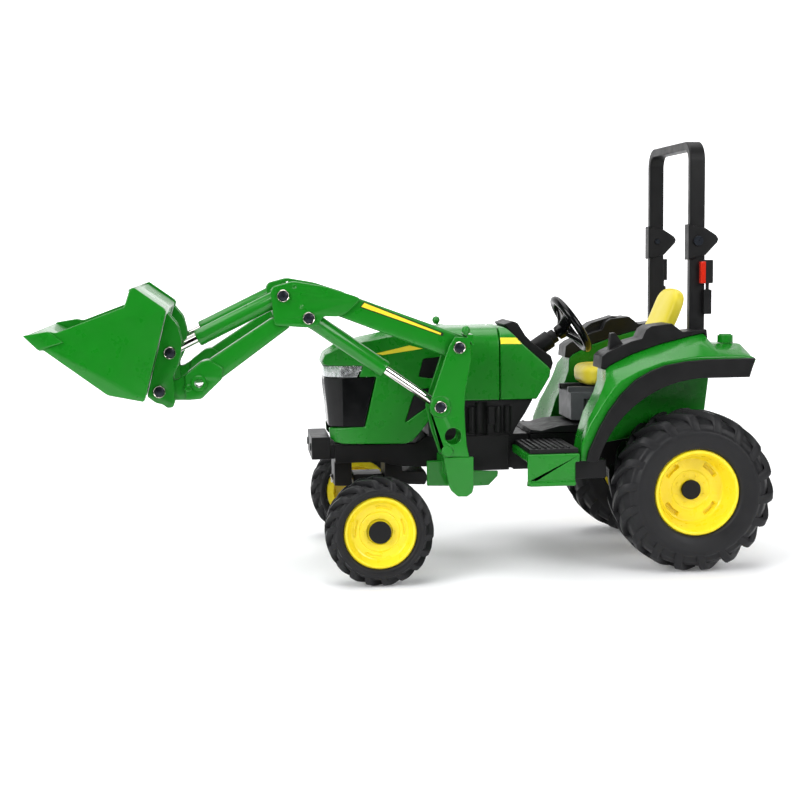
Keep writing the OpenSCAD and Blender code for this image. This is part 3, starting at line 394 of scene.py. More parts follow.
def tinted(tree, coords, colour, other, size, detail=2.0):
    """A colour that drifts between two hex values over patches of about the given size."""
    noise = add(tree, "TexNoise", {"Vector": coords, "Scale": 1 / (size * MM), "Detail": detail})
    mix = add(tree, "Mix", {"Factor": noise.outputs["Fac"], "A": linear(colour), "B": linear(other)},
              data_type="RGBA")
    return mix.outputs["Result"]


def varied(tree, coords, low, high, size):
    """A number that drifts between low and high over patches of the given size."""
    noise = add(tree, "TexNoise", {"Vector": coords, "Scale": 1 / (size * MM), "Detail": 3.0})
    span = add(tree, "MapRange", {"Value": noise.outputs["Fac"], "From Min": 0.3, "From Max": 0.7,
                                  "To Min": low, "To Max": high})
    return span.outputs["Result"]


def bumped(tree, principled, coords, size, height, strength=1.0, texture="TexNoise", extra=None):
    """Relief of the given height over features of the given size, on the shader's normal."""
    inputs = {"Vector": coords, "Scale": 1 / (size * MM)}
    inputs.update(extra or {})
    pattern = add(tree, texture, inputs)
    value = pattern.outputs["Distance" if texture == "TexVoronoi" else "Fac"]
    relief = add(tree, "Bump", {"Height": value, "Distance": height * MM, "Strength": strength})
    tree.links.new(relief.outputs["Normal"], principled.inputs["Normal"])
    return relief


def gloss_enamel(name, colour, shade):
    """Gloss enamel sprayed over a moulding: a deep even colour under a clear wet-looking coat, with the
    faint orange peel that spraying leaves, about 1.5 mm across."""
    tree, principled, coords = blank(name, IOR=1.5, Specular_IOR_Level=0.3, Coat_Weight=0.35,
                                     Coat_Roughness=0.07,
                                     Coat_IOR=1.5)
    tree.links.new(tinted(tree, coords, colour, shade, 9), principled.inputs["Base Color"])
    tree.links.new(varied(tree, coords, 0.26, 0.36, 5), principled.inputs["Roughness"])
    bumped(tree, principled, coords, 1.5, 0.012)


def gloss_abs(name, colour, shade):
    """Gloss ABS moulded in colour: a smooth polished-tool surface with slight sink and flow variation."""
    tree, principled, coords = blank(name, IOR=1.52, Specular_IOR_Level=0.3, Coat_Weight=0.2,
                                     Coat_Roughness=0.08,
                                     Coat_IOR=1.5)
    tree.links.new(tinted(tree, coords, colour, shade, 7), principled.inputs["Base Color"])
    tree.links.new(varied(tree, coords, 0.24, 0.36, 3), principled.inputs["Roughness"])
    bumped(tree, principled, coords, 2.5, 0.012)


def satin_abs(name, colour, shade, grain=0.28, depth=0.03, low=0.36, high=0.5):
    """Satin ABS from a spark-eroded tool: fine grain that breaks up the highlights. The real grain is
    about 0.1 mm, drawn coarser so that it shows."""
    tree, principled, coords = blank(name, IOR=1.5, Specular_IOR_Level=0.25)
    tree.links.new(tinted(tree, coords, colour, shade, 5), principled.inputs["Base Color"])
    tree.links.new(varied(tree, coords, low, high, 4), principled.inputs["Roughness"])
    bumped(tree, principled, coords, grain, depth, 0.6, extra={"Detail": 4.0})


def tyre_rubber(name, colour, shade):
    """Moulded PVC rubber: dark and dry, with a fine matt grain and a greyer bloom in patches."""
    tree, principled, coords = blank(name, IOR=1.5, Specular_IOR_Level=0.25, Sheen_Weight=0.02,
                                     Sheen_Roughness=0.5)
    tree.links.new(tinted(tree, coords, colour, shade, 6, 4.0), principled.inputs["Base Color"])
    tree.links.new(varied(tree, coords, 0.42, 0.58, 3), principled.inputs["Roughness"])
    bumped(tree, principled, coords, 0.35, 0.04, 0.7, extra={"Detail": 5.0})


def plated(name, colour, low, high, polish=0.6):
    """Nickel-chrome plate over a turned bar: mirror bright, with hair-fine turning marks."""
    tree, principled, coords = blank(name, Metallic=1.0)
    principled.inputs["Base Color"].default_value = linear(colour)
    tree.links.new(varied(tree, coords, low, high, 2), principled.inputs["Roughness"])
    bumped(tree, principled, coords, polish, 0.004, 0.5)


def black_oxide(name, colour, shade):
    """Black-oxide steel pin head: blue-black and satin, with short polishing marks."""
    tree, principled, coords = blank(name, Metallic=0.7)
    tree.links.new(tinted(tree, coords, colour, shade, 0.8), principled.inputs["Base Color"])
    tree.links.new(varied(tree, coords, 0.26, 0.42, 0.6), principled.inputs["Roughness"])
    bumped(tree, principled, coords, 0.5, 0.02, 0.5)


def vinyl(name, colour, shade):
    """Self-adhesive vinyl: flat bright ink with a soft sheen, and a surface that follows the paint."""
    tree, principled, coords = blank(name, IOR=1.48, Coat_Weight=0.2, Coat_Roughness=0.15)
    tree.links.new(tinted(tree, coords, colour, shade, 3), principled.inputs["Base Color"])
    tree.links.new(varied(tree, coords, 0.3, 0.42, 2), principled.inputs["Roughness"])
    bumped(tree, principled, coords, 1.2, 0.006)


def lamp_reflector(name, colour, shade):
    """Vacuum-metallised lamp bowl behind its lens: bright, with the lens's upright flutes 1.4 mm apart."""
    tree, principled, coords = blank(name, Metallic=0.85, Coat_Weight=1.0, Coat_Roughness=0.03)
    tree.links.new(tinted(tree, coords, colour, shade, 2.2), principled.inputs["Base Color"])
    tree.links.new(varied(tree, coords, 0.12, 0.3, 1.5), principled.inputs["Roughness"])
    bumped(tree, principled, coords, 4.5, 0.1, 0.6, "TexWave", {"Distortion": 0.4})


def lens_red(name, colour, shade):
    """Clear red acrylic: saturated and glossy, with prisms 0.8 mm apart inside."""
    tree, principled, coords = blank(name, IOR=1.49, Coat_Weight=0.8, Coat_Roughness=0.04)
    tree.links.new(tinted(tree, coords, colour, shade, 1), principled.inputs["Base Color"])
    tree.links.new(varied(tree, coords, 0.15, 0.25, 1), principled.inputs["Roughness"])
    bumped(tree, principled, coords, 2.6, 0.05, 0.5, "TexWave", {"Distortion": 0.0})


def make_materials(colours):
    """Every finish on the toy, by the name its pieces use."""
    gloss_enamel("green_enamel", colours.green, colours.green_shade)
    gloss_abs("green_abs", colours.green, colours.green_shade)
    gloss_abs("yellow_abs", colours.yellow, colours.yellow_shade)
    satin_abs("black_abs", colours.black, colours.black_shade)
    satin_abs("gloss_black", "#08090A", "#0B0C0D", 1.6, 0.008, 0.14, 0.22)
    satin_abs("yellow_seat", "#DFCE3C", "#D8C634", 0.5, 0.03, 0.34, 0.46)
    satin_abs("mat_rubber", "#121213", "#18181A", 0.4, 0.06, 0.4, 0.6)
    satin_abs("grey_abs", "#5C5E61", "#54565A")
    tyre_rubber("tyre_rubber", colours.rubber, colours.rubber_shade)
    plated("chrome_plate", "#E9E6E2", 0.05, 0.12)
    plated("nickel_plate", "#C9C3BB", 0.16, 0.26)
    black_oxide("black_oxide", "#2B3038", "#20242B")
    vinyl("yellow_vinyl", "#F3E13A", "#ECD52E")
    vinyl("black_vinyl", "#141412", "#1B1B18")
    lamp_reflector("lamp_reflector", "#E6E7E8", "#B9BCC0")
    lens_red("lamp_red", "#D8301A", "#B81E10")


# ---------------------------------------------------------------- wheels


def tyre_profile(rim_r, tyre_r, tread_h, inner, outer):
    """Half-section of the carcass: bead, bulging sidewall, shoulder and crowned tread, as a smooth
    curve through a few (radius, across) points."""
    middle, half = (inner + outer) / 2, (outer - inner) / 2
    base = tyre_r - tread_h
    points = np.array([
        (rim_r + 0.06, half - 1.9), (rim_r + 0.5, half - 1.1), (rim_r + 1.6, half - 0.62),
        (rim_r + 0.32 * (base - rim_r), half - 0.1), (rim_r + 0.6 * (base - rim_r), half - 0.02),
        (base - 0.34 * (base - rim_r), half - 0.7), (base - 0.2 * (base - rim_r), half - 1.3),
        (base - 1.5, half - 2.3), (base - 0.5, half - 3.9), (base - 0.1, half - 6.0), (base, 0)])
    stations = np.r_[0, np.cumsum(np.linalg.norm(np.diff(points, axis=0), axis=1))]
    curve = through(stations, points, np.linspace(0, stations[-1], 44))
    return np.concatenate([curve[:-1] * [1, 1], (curve * [1, -1])[::-1]]) + [0, middle]


def tread_bars(centre, rim_r, tyre_r, tread_h, inner, outer, count):
    """Two staggered rows of slanted tread bars. Along a bar, s runs from 0 at the tyre's middle to 1 on
    the shoulder; its angle round the wheel falls back with s, and its top drops over the shoulder by
    a quarter ellipse. Across a bar are six points: a foot, a chamfered top and the other foot."""
    middle, half = (inner + outer) / 2, (outer - inner) / 2
    base = tyre_r - tread_h
    s = np.linspace(0, 1, 14)
    side = -0.06 * half + s * 1.05 * half
    over = np.clip((side / half - 0.72) / 0.28, 0, 1)
    side = np.minimum(side, half - 0.12)
    drop = min(3.4 * tread_h, 0.42 * (tyre_r - rim_r))
    top = tyre_r - 0.17 * half * (side / half) ** 4 - drop * (1 - np.sqrt(1 - np.minimum(over, 0.985) ** 2))
    foot = np.minimum(base - 0.6, top - 0.9) - 1.0 * over
    lean = np.pi / count * (2.15 * s**0.9 - 0.35)
    wide = (0.19 + 0.13 * s) * 2 * np.pi * tyre_r / count / 2
    across = np.array([-1.16, -0.98, -0.86, 0.86, 0.98, 1.16])
    lift = np.array([0.0, 0.9, 1.0, 1.0, 0.9, 0.0])
    radius = foot[:, None] + (top - foot)[:, None] * lift
    angle = lean[:, None] + wide[:, None] * across / tyre_r
    spread = np.broadcast_to(side[:, None], radius.shape)
    turn = 2 * np.pi * np.arange(count) / count
    rows = []
    for flip, offset in ((1, 0.0), (-1, np.pi / count)):
        a = angle[None] + (turn + offset)[:, None, None]
        x = centre[0] - radius[None] * np.sin(a) * -1
        z = centre[1] + radius[None] * np.cos(a)
        y = np.broadcast_to(middle + flip * spread[None], a.shape)
        rows.append(np.stack([x, y, z], -1).reshape(count, -1, 3))
    faces = grid(np.zeros((len(s), 6, 3)), wrap_v=True, caps=True)[1]
    return join(*[copies(row, faces) for row in rows])


# Points along the visible face of a rim.
FACE_POINTS = 200


def dish(profile, slots, centre, steps):
    """A wheel rim: a closed profile turned about Y whose face is pressed in at arc-shaped slots. A slot
    is (radius, half width, middle angle, half angle, depth), and its edge fades over a short distance."""
    profile = np.asarray(profile, float)
    profile = np.concatenate([profile, profile[:1]])
    a = np.linspace(0, 2 * np.pi, steps, endpoint=False)[:, None]
    radius, along = profile[:, 0][None], np.broadcast_to(profile[:, 1][None], (steps, len(profile)))
    along = along.copy()
    facing = np.zeros(len(profile), bool)
    facing[: FACE_POINTS] = True
    for slot_r, half_w, mid, half_a, depth in slots:
        turn = (a - math.radians(mid) + np.pi) % (2 * np.pi) - np.pi
        reach = np.clip((math.radians(half_a) - np.abs(turn)) * slot_r / 0.5, 0, 1)
        width = np.clip((half_w - np.abs(radius - slot_r)) / 0.35, 0, 1)
        along -= depth * reach * width * facing[None]
    x = centre[0] + radius * np.cos(a)
    z = centre[1] + radius * np.sin(a)
    return grid(np.stack([x, along, z], -1), wrap_u=True)


def face_profile(points):
    """Points spaced closely along the rim's visible face, through corner points with a short round."""
    p = np.asarray(points, float)
    stations = np.r_[0, np.cumsum(np.linalg.norm(np.diff(p, axis=0), axis=1))]
    s = np.linspace(0, stations[-1], FACE_POINTS)
    straight = np.stack([np.interp(s, stations, p[:, 0]), np.interp(s, stations, p[:, 1])], -1)
    kernel = np.hanning(9) / np.hanning(9).sum()
    padded = np.pad(straight, ((4, 4), (0, 0)), "edge")
    return np.stack([np.convolve(padded[:, i], kernel, "valid") for i in (0, 1)], -1)


def rear_rim(side):
    """Deep-dished rear rim with a rolled lip, a coned disc, four curved slots and a ring of bolts."""
    low, high = extent("rear_rim_right")
    r, out, inn = (high[0] - low[0]) / 2, high[1], low[1]
    hub = extent("rear_hub_caps")[1][1]
    disc = hub - 1.5
    face = face_profile([(r - 0.05, out - 0.6), (r - 0.5, out), (r - 1.3, out - 0.1), (r - 1.9, out - 1.2),
                         (r - 2.3, out - 2.4), (r - 3.4, disc + 1.6), (r - 4.0, disc + 0.9),
                         (8.0, disc + 0.7),
                         (6.9, disc + 0.55), (6.6, disc + 0.1), (1.75, disc)])
    back = [(1.75, disc - 5), (4.6, disc - 5), (5.2, disc - 1.2), (r - 4.4, disc - 0.4), (r - 3, disc + 1),
            (r - 2.2, inn + 3), (r - 2.6, inn), (r - 0.1, inn), (r, inn + 1.2), (r - 0.6, inn + 2.4),
            (r - 0.6, out - 2.6), (r, out - 1.6)]
    slots = [(9.7, 0.85, mid, 17, 1.3) for mid in (45, 135, 225, 315)]
    rim = dish(np.concatenate([face, back]), slots, REAR, 240)
    bolts = join(*[lathe([(0, 0.34), (0.34, 0.34), (0.44, 0.24), (0.44, -0.4), (0, -0.4)],
                         (REAR[0] + 5.2 * math.cos(a), disc + 0.05, REAR[1] + 5.2 * math.sin(a)), steps=12)
                   for a in np.radians(np.arange(22.5, 360, 45))])
    shape = join(rim, bolts)
    name = "rear_rim_" + side
    return make("moulded_" + name, mirrored(shape) if side == "left" else shape, "rear_wheel_" + side,
                "yellow_plastic", "yellow_abs", name)


def front_rim(side):
    """Shallow front rim: a rolled lip, a step, a ring crease and four shallow curved recesses."""
    low, high = extent("front_rim_right")
    r, out, inn = (high[0] - low[0]) / 2, high[1], low[1]
    disc = out - 3.4
    face = face_profile([(r - 0.05, out - 0.5), (r - 0.5, out), (r - 1.2, out - 0.1), (r - 1.7, out - 1.0),
                         (r - 2.6, disc + 1.0), (r - 3.2, disc + 0.75), (7.0, disc + 0.6),
                         (6.75, disc + 0.25),
                         (6.5, disc + 0.45), (4.4, disc + 0.4), (4.2, disc), (1.75, disc - 0.1)])
    back = [(1.75, disc - 5), (4.4, disc - 5), (5, disc - 1.2), (r - 4, disc - 0.8), (r - 2.6, inn + 2),
            (r - 2.6, inn), (r - 0.1, inn), (r, inn + 1), (r - 0.6, inn + 2), (r - 0.6, out - 2),
            (r, out - 1.4)]
    slots = [(8.55, 0.6, mid, 20, 0.5) for mid in (10, 80, 170, 255)]
    rim = dish(np.concatenate([face, back]), slots, FRONT, 200)
    notches = join(*[lathe([(0, 0.16), (0.3, 0.16), (0.36, -0.3), (0, -0.3)],
                           (FRONT[0] + 5.4 * math.cos(a), disc + 0.42, FRONT[1] + 5.4 * math.sin(a)),
                           steps=10)
                     for a in np.radians(np.arange(0, 360, 45))])
    shape = join(rim, notches)
    name = "front_rim_" + side
    return make("moulded_" + name, mirrored(shape) if side == "left" else shape, "front_wheel_" + side,
                "yellow_plastic", "yellow_abs", name)


def tyre(end, side, sizes):
    """One tyre: its carcass and its tread bars."""
    centre = FRONT if end == "front" else REAR
    low, high = extent(f"{end}_tyre_right")
    rim_low, rim_high = extent(f"{end}_rim_right")
    tyre_r, rim_r = (high[2] - low[2]) / 2, (rim_high[2] - rim_low[2]) / 2
    tread = sizes.tread_height / MM * (1 if end == "rear" else 0.85)
    profile = tyre_profile(rim_r, tyre_r, tread, low[1], high[1])
    carcass = turned(profile, (centre[0], 0, centre[1]), steps=160)
    shape = join(carcass, tread_bars(centre, rim_r, tyre_r, tread, low[1], high[1], sizes.tread_count))
    name = f"{end}_tyre_{side}"
    return make("moulded_" + name, mirrored(shape) if side == "left" else shape, f"{end}_wheel_{side}",
                "tyre_rubber", "tyre_rubber", name, angle=38)


# ---------------------------------------------------------------- loader


def boom_arm(side):
    """One loader arm: two box tubes, a pair of knee plates, and the casting that holds the bucket."""
    y_in, y_out = ARM_Y - 3.2, ARM_Y + 3.2
    knee = rounded(at(KNEE, [[-12.7, 9.2], [-11.6, 10.7], [-4.9, 12.4], [5.5, 10.5], [16.4, 6.9],
                             [17.6, 6.1], [15.5, 4], [12.6, 1.4], [10.2, 0.3], [5.3, 0.5], [4.2, -0.4],
                             [3.5, -2.2], [2.2, -3], [-1.1, -3.2], [-11.5, -2.3]]), 1.2)
    holes = [(KNEE, 1.12), (KNEE_TOP, 1.12), (KNEE + [-4.6, 10.6], 0.55)]
    front = rounded(np.concatenate([
        at(KNEE, [[-12.5, 0.1], [-6.6, 0.1], [-6.6, -3.2]]),
        at(BUCKET, [[20.7, 3.8], [14, 3], [14, 8], [16.8, 10.3]])]), 0.3, 3)
    rear = np.concatenate([at(KNEE, [[10, 0.4], [10, 8.8], [16.5, 6.5]]), at(BOOM, [[-4.9, 6.3]]),
                           arc(BOOM, 4.2, 70, -110, 14), at(BOOM, [[-4.7, -2.9]])])
    casting = rounded(at(BUCKET, [[8.6, -3.2], [13.9, -2.9], [21, 3.8], [21.4, 7.6], [16.8, 10.3],
                                  [14.3, 9.8], [8.6, 5.4]]), 0.8)
    nose = np.concatenate([arc(BUCKET, 3.05, 100, 265, 16), at(BUCKET, [[9, -3.2], [9, 5.5], [6.1, 3.8]])])
    boss, small = BUCKET + [13.2, 2.5], BUCKET + [9.6, 0.9]

    def ring(centre, outer, inner, start, stop):
        return turned([(inner, start), (inner, stop - 0.2), (inner + 0.2, stop), (outer - 0.3, stop),
                       (outer, stop - 0.3), (outer + 0.25, start)], (centre[0], 0, centre[1]), steps=40)

    shape = join(
        plate(knee, y_out, y_out + 1, 0.28, holes), plate(knee, y_in - 1, y_in, 0.28, holes),
        plate(front, y_in, y_out, 0.7), plate(rear, y_in, y_out, 0.7, [(BOOM, 1.16)]),
        plate(casting, ARM_Y - 4, ARM_Y + 4, 0.5, [(boss, 1.45)]),
        plate(nose, ARM_Y - 3, ARM_Y + 3, 0.5, [(BUCKET, 1.16)]),
        ring(boss, 2.6, 1.45, ARM_Y + 3.8, ARM_Y + 4.75), ring(small, 1.25, 0.5, ARM_Y + 2.8, ARM_Y + 4.3),
        turned([(0.01, y_out + 0.9), (0.01, y_out + 1.05), (0.45, y_out + 1.2), (0.8, y_out + 1.1),
                (0.95, y_out + 0.9)], (KNEE[0] - 2.5, 0, KNEE[1] + 3.9), steps=24))
    name = "boom_arm_" + side
    return make("welded_" + name, mirrored(shape) if side == "left" else shape, "boom",
                "green_metal", "green_enamel", name)


def cylinders():
    """Both pairs of cylinders: green barrels with end collars, and plated rods with an eye."""
    eye = 2.8

    def pair(foot, head, barrel_length, rod_length):
        way = (head - foot) / np.linalg.norm(head - foot)
        length = np.linalg.norm(head - foot)
        start = length - barrel_length
        direction = (way[0], 0, way[1])
        origin = (foot[0], ARM_Y, foot[1])
        barrel = turned([(1.56, start), (2.5, start), (2.72, start + 0.22), (2.9, start + 0.3),
                         (2.9, start + 2.2),
                         (2.82, start + 2.4), (2.82, length - 3.2), (2.9, length - 2.9), (2.9, length - 1.6),
                         (2.4, length - 0.9), (0.01, length - 0.8), (0.01, length - 4.6),
                         (1.56, length - 4.6)],
                        origin, direction, 56)
        head_eye = turned([(0.01, -eye), (2.3, -eye), (2.62, -eye + 0.3), (2.62, eye - 0.3), (2.3, eye),
                           (0.01, eye)],
                          (head[0], ARM_Y, head[1]), steps=40)
        rod = lathe([(0, 1.6), (1.5, 1.6), (1.5, rod_length - 0.2), (1.3, rod_length), (0, rod_length)],
                    origin, direction, 48)
        foot_eye = turned([(1.16, -eye), (2.35, -eye), (2.6, -eye + 0.25), (2.6, eye - 0.25), (2.35, eye),
                           (1.16, eye)],
                          (foot[0], ARM_Y, foot[1]), steps=48)
        return both(join(barrel, head_eye)), both(join(rod, foot_eye))

    barrels, rods = pair(MAST_PIN, KNEE, 31.7, np.linalg.norm(KNEE - MAST_PIN) - 31.7 + 13.9)
    make("sprayed_lift_barrels", barrels, "lift_barrel_set", "green_metal", "green_enamel", "lift_barrels")
    make("plated_lift_rods", rods, "lift_rod_set", "bright_rod", "chrome_plate", "lift_rods")
    barrels, rods = pair(ROD_PIN, KNEE_TOP, 32.2, np.linalg.norm(KNEE_TOP - ROD_PIN) - 32.2 + 20.9)
    make("sprayed_bucket_barrels", barrels, "bucket_barrel_set", "green_metal", "green_enamel",
         "bucket_barrels")
    make("plated_bucket_rods", rods, "bucket_rod_set", "bright_rod", "chrome_plate", "bucket_rods")


def bucket():
    """The bucket: folded side plates with thick cutting corners, and one bent sheet between them."""
    half, t = (extent("bucket")[1][1] - 0.7), 1.3
    side = rounded(at(BUCKET,
                      [[-42.7, 20], [-37.6, 14.9], [-36.4, 15.2], [-16.2, 0], [-4.7, -2.4], [-4.1, -1.4],
                               [3.4, 27.2], [2.9, 28.1], [-6.9, 35.2], [-8.2, 34.4], [-10.1, 28.8],
                               [-32.2, 20.7], [-34.5, 21.3]]), 0.9)
    corner = rounded(at(BUCKET, [[-42.7, 20], [-37.8, 15.1], [-29.6, 17.7], [-34.5, 21.3]]), 0.6)
    sheet = rounded(at(BUCKET,
                       [[-42.5, 19.9], [-37.8, 15.7], [-36.2, 15.1], [-16.2, 0.3], [-4.8, -2], [-4.4, -1.4],
                                [2.8, 26.8], [2.4, 27.4], [-7.2, 34.3], [-8, 33.3], [0.8, 26.4], [-5.6, -0.4],
                                [-15.6, 1.7], [-36, 17]]), 0.35, 3)
    lip = rounded(at(BUCKET, [[-7.8, 34.9], [-8.7, 34.2], [-8.4, 33.0], [-7.2, 32.6]]), 0.4)
    shape = join(both(plate(side, half - t, half, 0.35)), both(plate(corner, half - 0.1, half + 0.7, 0.3)),
                 both(plate(corner, half - t - 0.6, half - t + 0.1, 0.3)),
                 plate(sheet, -half + t - 0.2, half - t + 0.2, 0.05), plate(lip, -half + t, half - t, 0.05))
    make("folded_bucket", shape, "bucket", "green_metal", "green_enamel", "bucket")
    ear = rounded(at(BUCKET,
                     [[-4.1, -1.6], [-1.2, -3.8], [1.2, -4.4], [2.4, -5.6], [4.4, -5.4], [5, -4], [5, 0],
                              [4.7, 5], [6.5, 8.7], [7.5, 12.5], [7.8, 17.1], [6.5, 22.4], [3.3, 26.4],
                              [2.8, 25.2]]), 0.8)
    holes = [(BUCKET, 1.12), (ROD_PIN, 1.12)]
    gap, thick = 3.4, 1.2
    ears = join(plate(ear, ARM_Y + gap, ARM_Y + gap + thick, 0.3, holes),
                plate(ear, ARM_Y - gap - thick, ARM_Y - gap, 0.3, holes))
    make("welded_ears", both(ears), "bucket", "green_metal", "green_enamel", "bucket_carrier")


def pin_parts(centre, inner, outer):
    """A loader pin along Y: the plated shank with a rolled ring at each end, and the domed black heads."""
    head_r, head_t = 2.1, 1.2
    x, z = centre

    def end(face, way):
        ring = turned([(1.7, face), (head_r - 0.12, face), (head_r, face + way * 0.15),
                       (head_r, face + way * (head_t - 0.55)), (head_r - 0.2, face + way * (head_t - 0.3)),
                       (1.72, face + way * (head_t - 0.42)), (1.6, face + way * 0.3)], (x, 0, z), steps=40)
        dome = lathe([(0, face), (1.68, face), (1.7, face + way * (head_t - 0.5)),
                      (1.55, face + way * (head_t - 0.28)), (1.0, face + way * (head_t - 0.08)),
                      (0, face + way * head_t)], (x, 0, z), steps=36)
        return ring, dome

    ring_out, dome_out = end(outer, 1)
    ring_in, dome_in = end(inner, -0.6)
    shank = bar((x, inner + 0.1, z), (x, outer - 0.1, z), 1.1, 0.1, 32)
    return join(shank, ring_out, ring_in), join(dome_out, dome_in)


def pins():
    """Every loader pin, in three groups that move with the mast, the boom and the bucket."""
    groups = (
        ("mast", "chassis", [(BOOM, 0, 0), (MAST_PIN, 0, 0.4)], "mast_pins", 6.2),
        ("knee", "boom", [(KNEE, 0, 0), (KNEE_TOP, 0, 0)], "knee_pins", 4.2),
        ("bucket", "bucket", [(BUCKET, 0, 0), (ROD_PIN, 0, 0)], "bucket_pins", 4.6))
    for name, body, places, node, reach in groups:
        parts = [pin_parts(p, ARM_Y - reach - a, ARM_Y + reach + b) for p, a, b in places]
        if name == "knee":
            parts = [(drop_middle(p, ARM_Y - reach, ARM_Y + reach),
                      pin_parts(p, ARM_Y - reach, ARM_Y + reach)[1])
                     for p, _, _ in places]
        make(name + "_pin_shanks", both(join(*[p[0] for p in parts])), body, "pin_steel", "nickel_plate",
             node)
        make(name + "_pin_heads", both(join(*[p[1] for p in parts])), body, "pin_steel", "black_oxide")


def drop_middle(centre, inner, outer):
    """A knee pin's plated parts, whose shank is two short studs that stop at the plates."""
    rings = pin_parts(centre, inner, outer)[0]
    shank_points = 32 * 8
    points, faces = rings
    kept = [f for f in faces if min(f) >= shank_points]
    studs = [bar((centre[0], a, centre[1]), (centre[0], b, centre[1]), 1.08, 0.08, 28)
             for a, b in ((outer - 0.95, outer - 0.05), (inner + 0.05, inner + 0.95))]
    return join((points[shank_points:], [[i - shank_points for i in f] for f in kept]), *studs)


# ---------------------------------------------------------------- remaining pieces


def finish_nodes(rows, width=0.3):
    """Softened copies of CAD nodes: each row is (node, body, slot, material) or has its own width last."""
    for node, body, slot, material, *own in rows:
        softened(node, own[0] if own else width, body, slot, material)


def oval(half_w, half_t, power=4.0, steps=48):
    """A superellipse: |x / half_w|^power + |y / half_t|^power = 1."""
    a = np.linspace(0, 2 * np.pi, steps, endpoint=False)
    c, t = np.cos(a), np.sin(a)
    return np.stack([half_w * np.sign(c) * np.abs(c) ** (2 / power),
                     half_t * np.sign(t) * np.abs(t) ** (2 / power)], -1)


def pad(spine, half_w, half_t, ribs, steps=40):
    """A crowned seat pad: superellipse sections strung along a side-view curve. A section's half width
    and thickness shrink to nothing at both ends like a rounded corner, and ribs presses upright channels
    of that depth 4.2 mm apart into the face above the curve."""
    v = 0.5 - 0.5 * np.cos(np.linspace(0.02, np.pi - 0.02, steps))
    way = through(np.linspace(0, 1, len(spine)), spine, v)
    along = np.gradient(way, axis=0)
    along /= np.linalg.norm(along, axis=1)[:, None]
    up = np.stack([-along[:, 1], along[:, 0]], -1)
    wide = half_w * (1 - np.abs(2 * v - 1) ** 7) ** 0.42
    thick = half_t * (1 - np.abs(2 * v - 1) ** 9) ** 0.5
    section = oval(1.0, 1.0, 3.6, 120)
    y = wide[:, None] * section[None, :, 0]
    lift = thick[:, None] * section[None, :, 1]
    face = np.clip(section[None, :, 1] * 2, 0, 1) * np.clip(1.2 - np.abs(y) / 8.5, 0,
                                                            1) * np.minimum(thick / half_t, 1)[:, None]
    lift = lift - ribs * face * (0.5 + 0.5 * np.cos(2 * np.pi * y / 4.2)) ** 3
    x = way[:, :1] + up[:, :1] * lift
    z = way[:, 1:] + up[:, 1:] * lift
    return grid(np.stack([x, y, z], -1), wrap_v=True, caps=True)


def seat():
    """One-piece moulded seat: a crowned cushion and a ribbed back that leans to the rear."""
    low, high = extent("seat")
    half = high[1]
    x0, x1, z0, z1 = low[0], high[0], low[2], high[2]
    cushion = pad([[x0, z0 + 3.9], [x0 + 8, z0 + 4.1], [x0 + 18, z0 + 3.9], [x0 + 27.5, z0 + 3.8]], half,
                  3.9, 0.35)
    back = pad([[x1 - 2.6, z1], [x1 - 6.6, z1 - 10], [x1 - 11.4, z1 - 20], [x1 - 16, z0 + 3.5]], half - 0.6,
               2.9, 0.4)
    make("moulded_seat", join(cushion, back), "chassis", "yellow_plastic", "yellow_seat", "seat", angle=60)


def steering_wheel():
    """Steering wheel: a thick round rim, three broad dished spokes and a bowl-shaped hub."""
    hub = np.array(JOINTS["steering_wheel_spin"]["pos_m"]) / MM
    axis = np.array(JOINTS["steering_wheel_spin"]["axis"], float)
    thick = 1.5
    ring_r = extent("steering_wheel")[1][1] - thick
    ring = oval(thick, thick, 2.0, 20) + [ring_r, 0]
    bowl = [(0, 2.2), (1.6, 2.3), (2.6, 2.9), (2.9, 3.8), (2.6, 6.2), (1.2, 6.6), (1.1, 12.6), (0, 12.6)]
    side = np.cross(axis, [0, 0, 1.0])
    side /= np.linalg.norm(side)
    other = np.cross(axis, side)
    spokes = []
    for a in np.radians([90, 210, 330]):
        out, across = np.cos(a) * side + np.sin(a) * other, -np.sin(a) * side + np.cos(a) * other
        t = np.linspace(0, 1, 10)[:, None]
        path = hub + out * (1.4 + (ring_r - 1.8) * t) + axis * (4.0 * (1 - t) ** 1.5)
        spokes.append(swept(oval(2.3, 0.75, 3.0, 24), path, across))
    shape = join(turned(ring, hub, axis, 88), lathe(bowl, hub, axis, 40), *spokes)
    make("moulded_steering_wheel", shape, "steering_wheel", "black_plastic", "gloss_black", "steering_wheel")


def evaluated(piece):
    """A piece's mesh with its modifiers worked out, which are then removed."""
    mesh = bpy.data.meshes.new_from_object(piece.evaluated_get(bpy.context.evaluated_depsgraph_get()))
    piece.modifiers.clear()
    return mesh


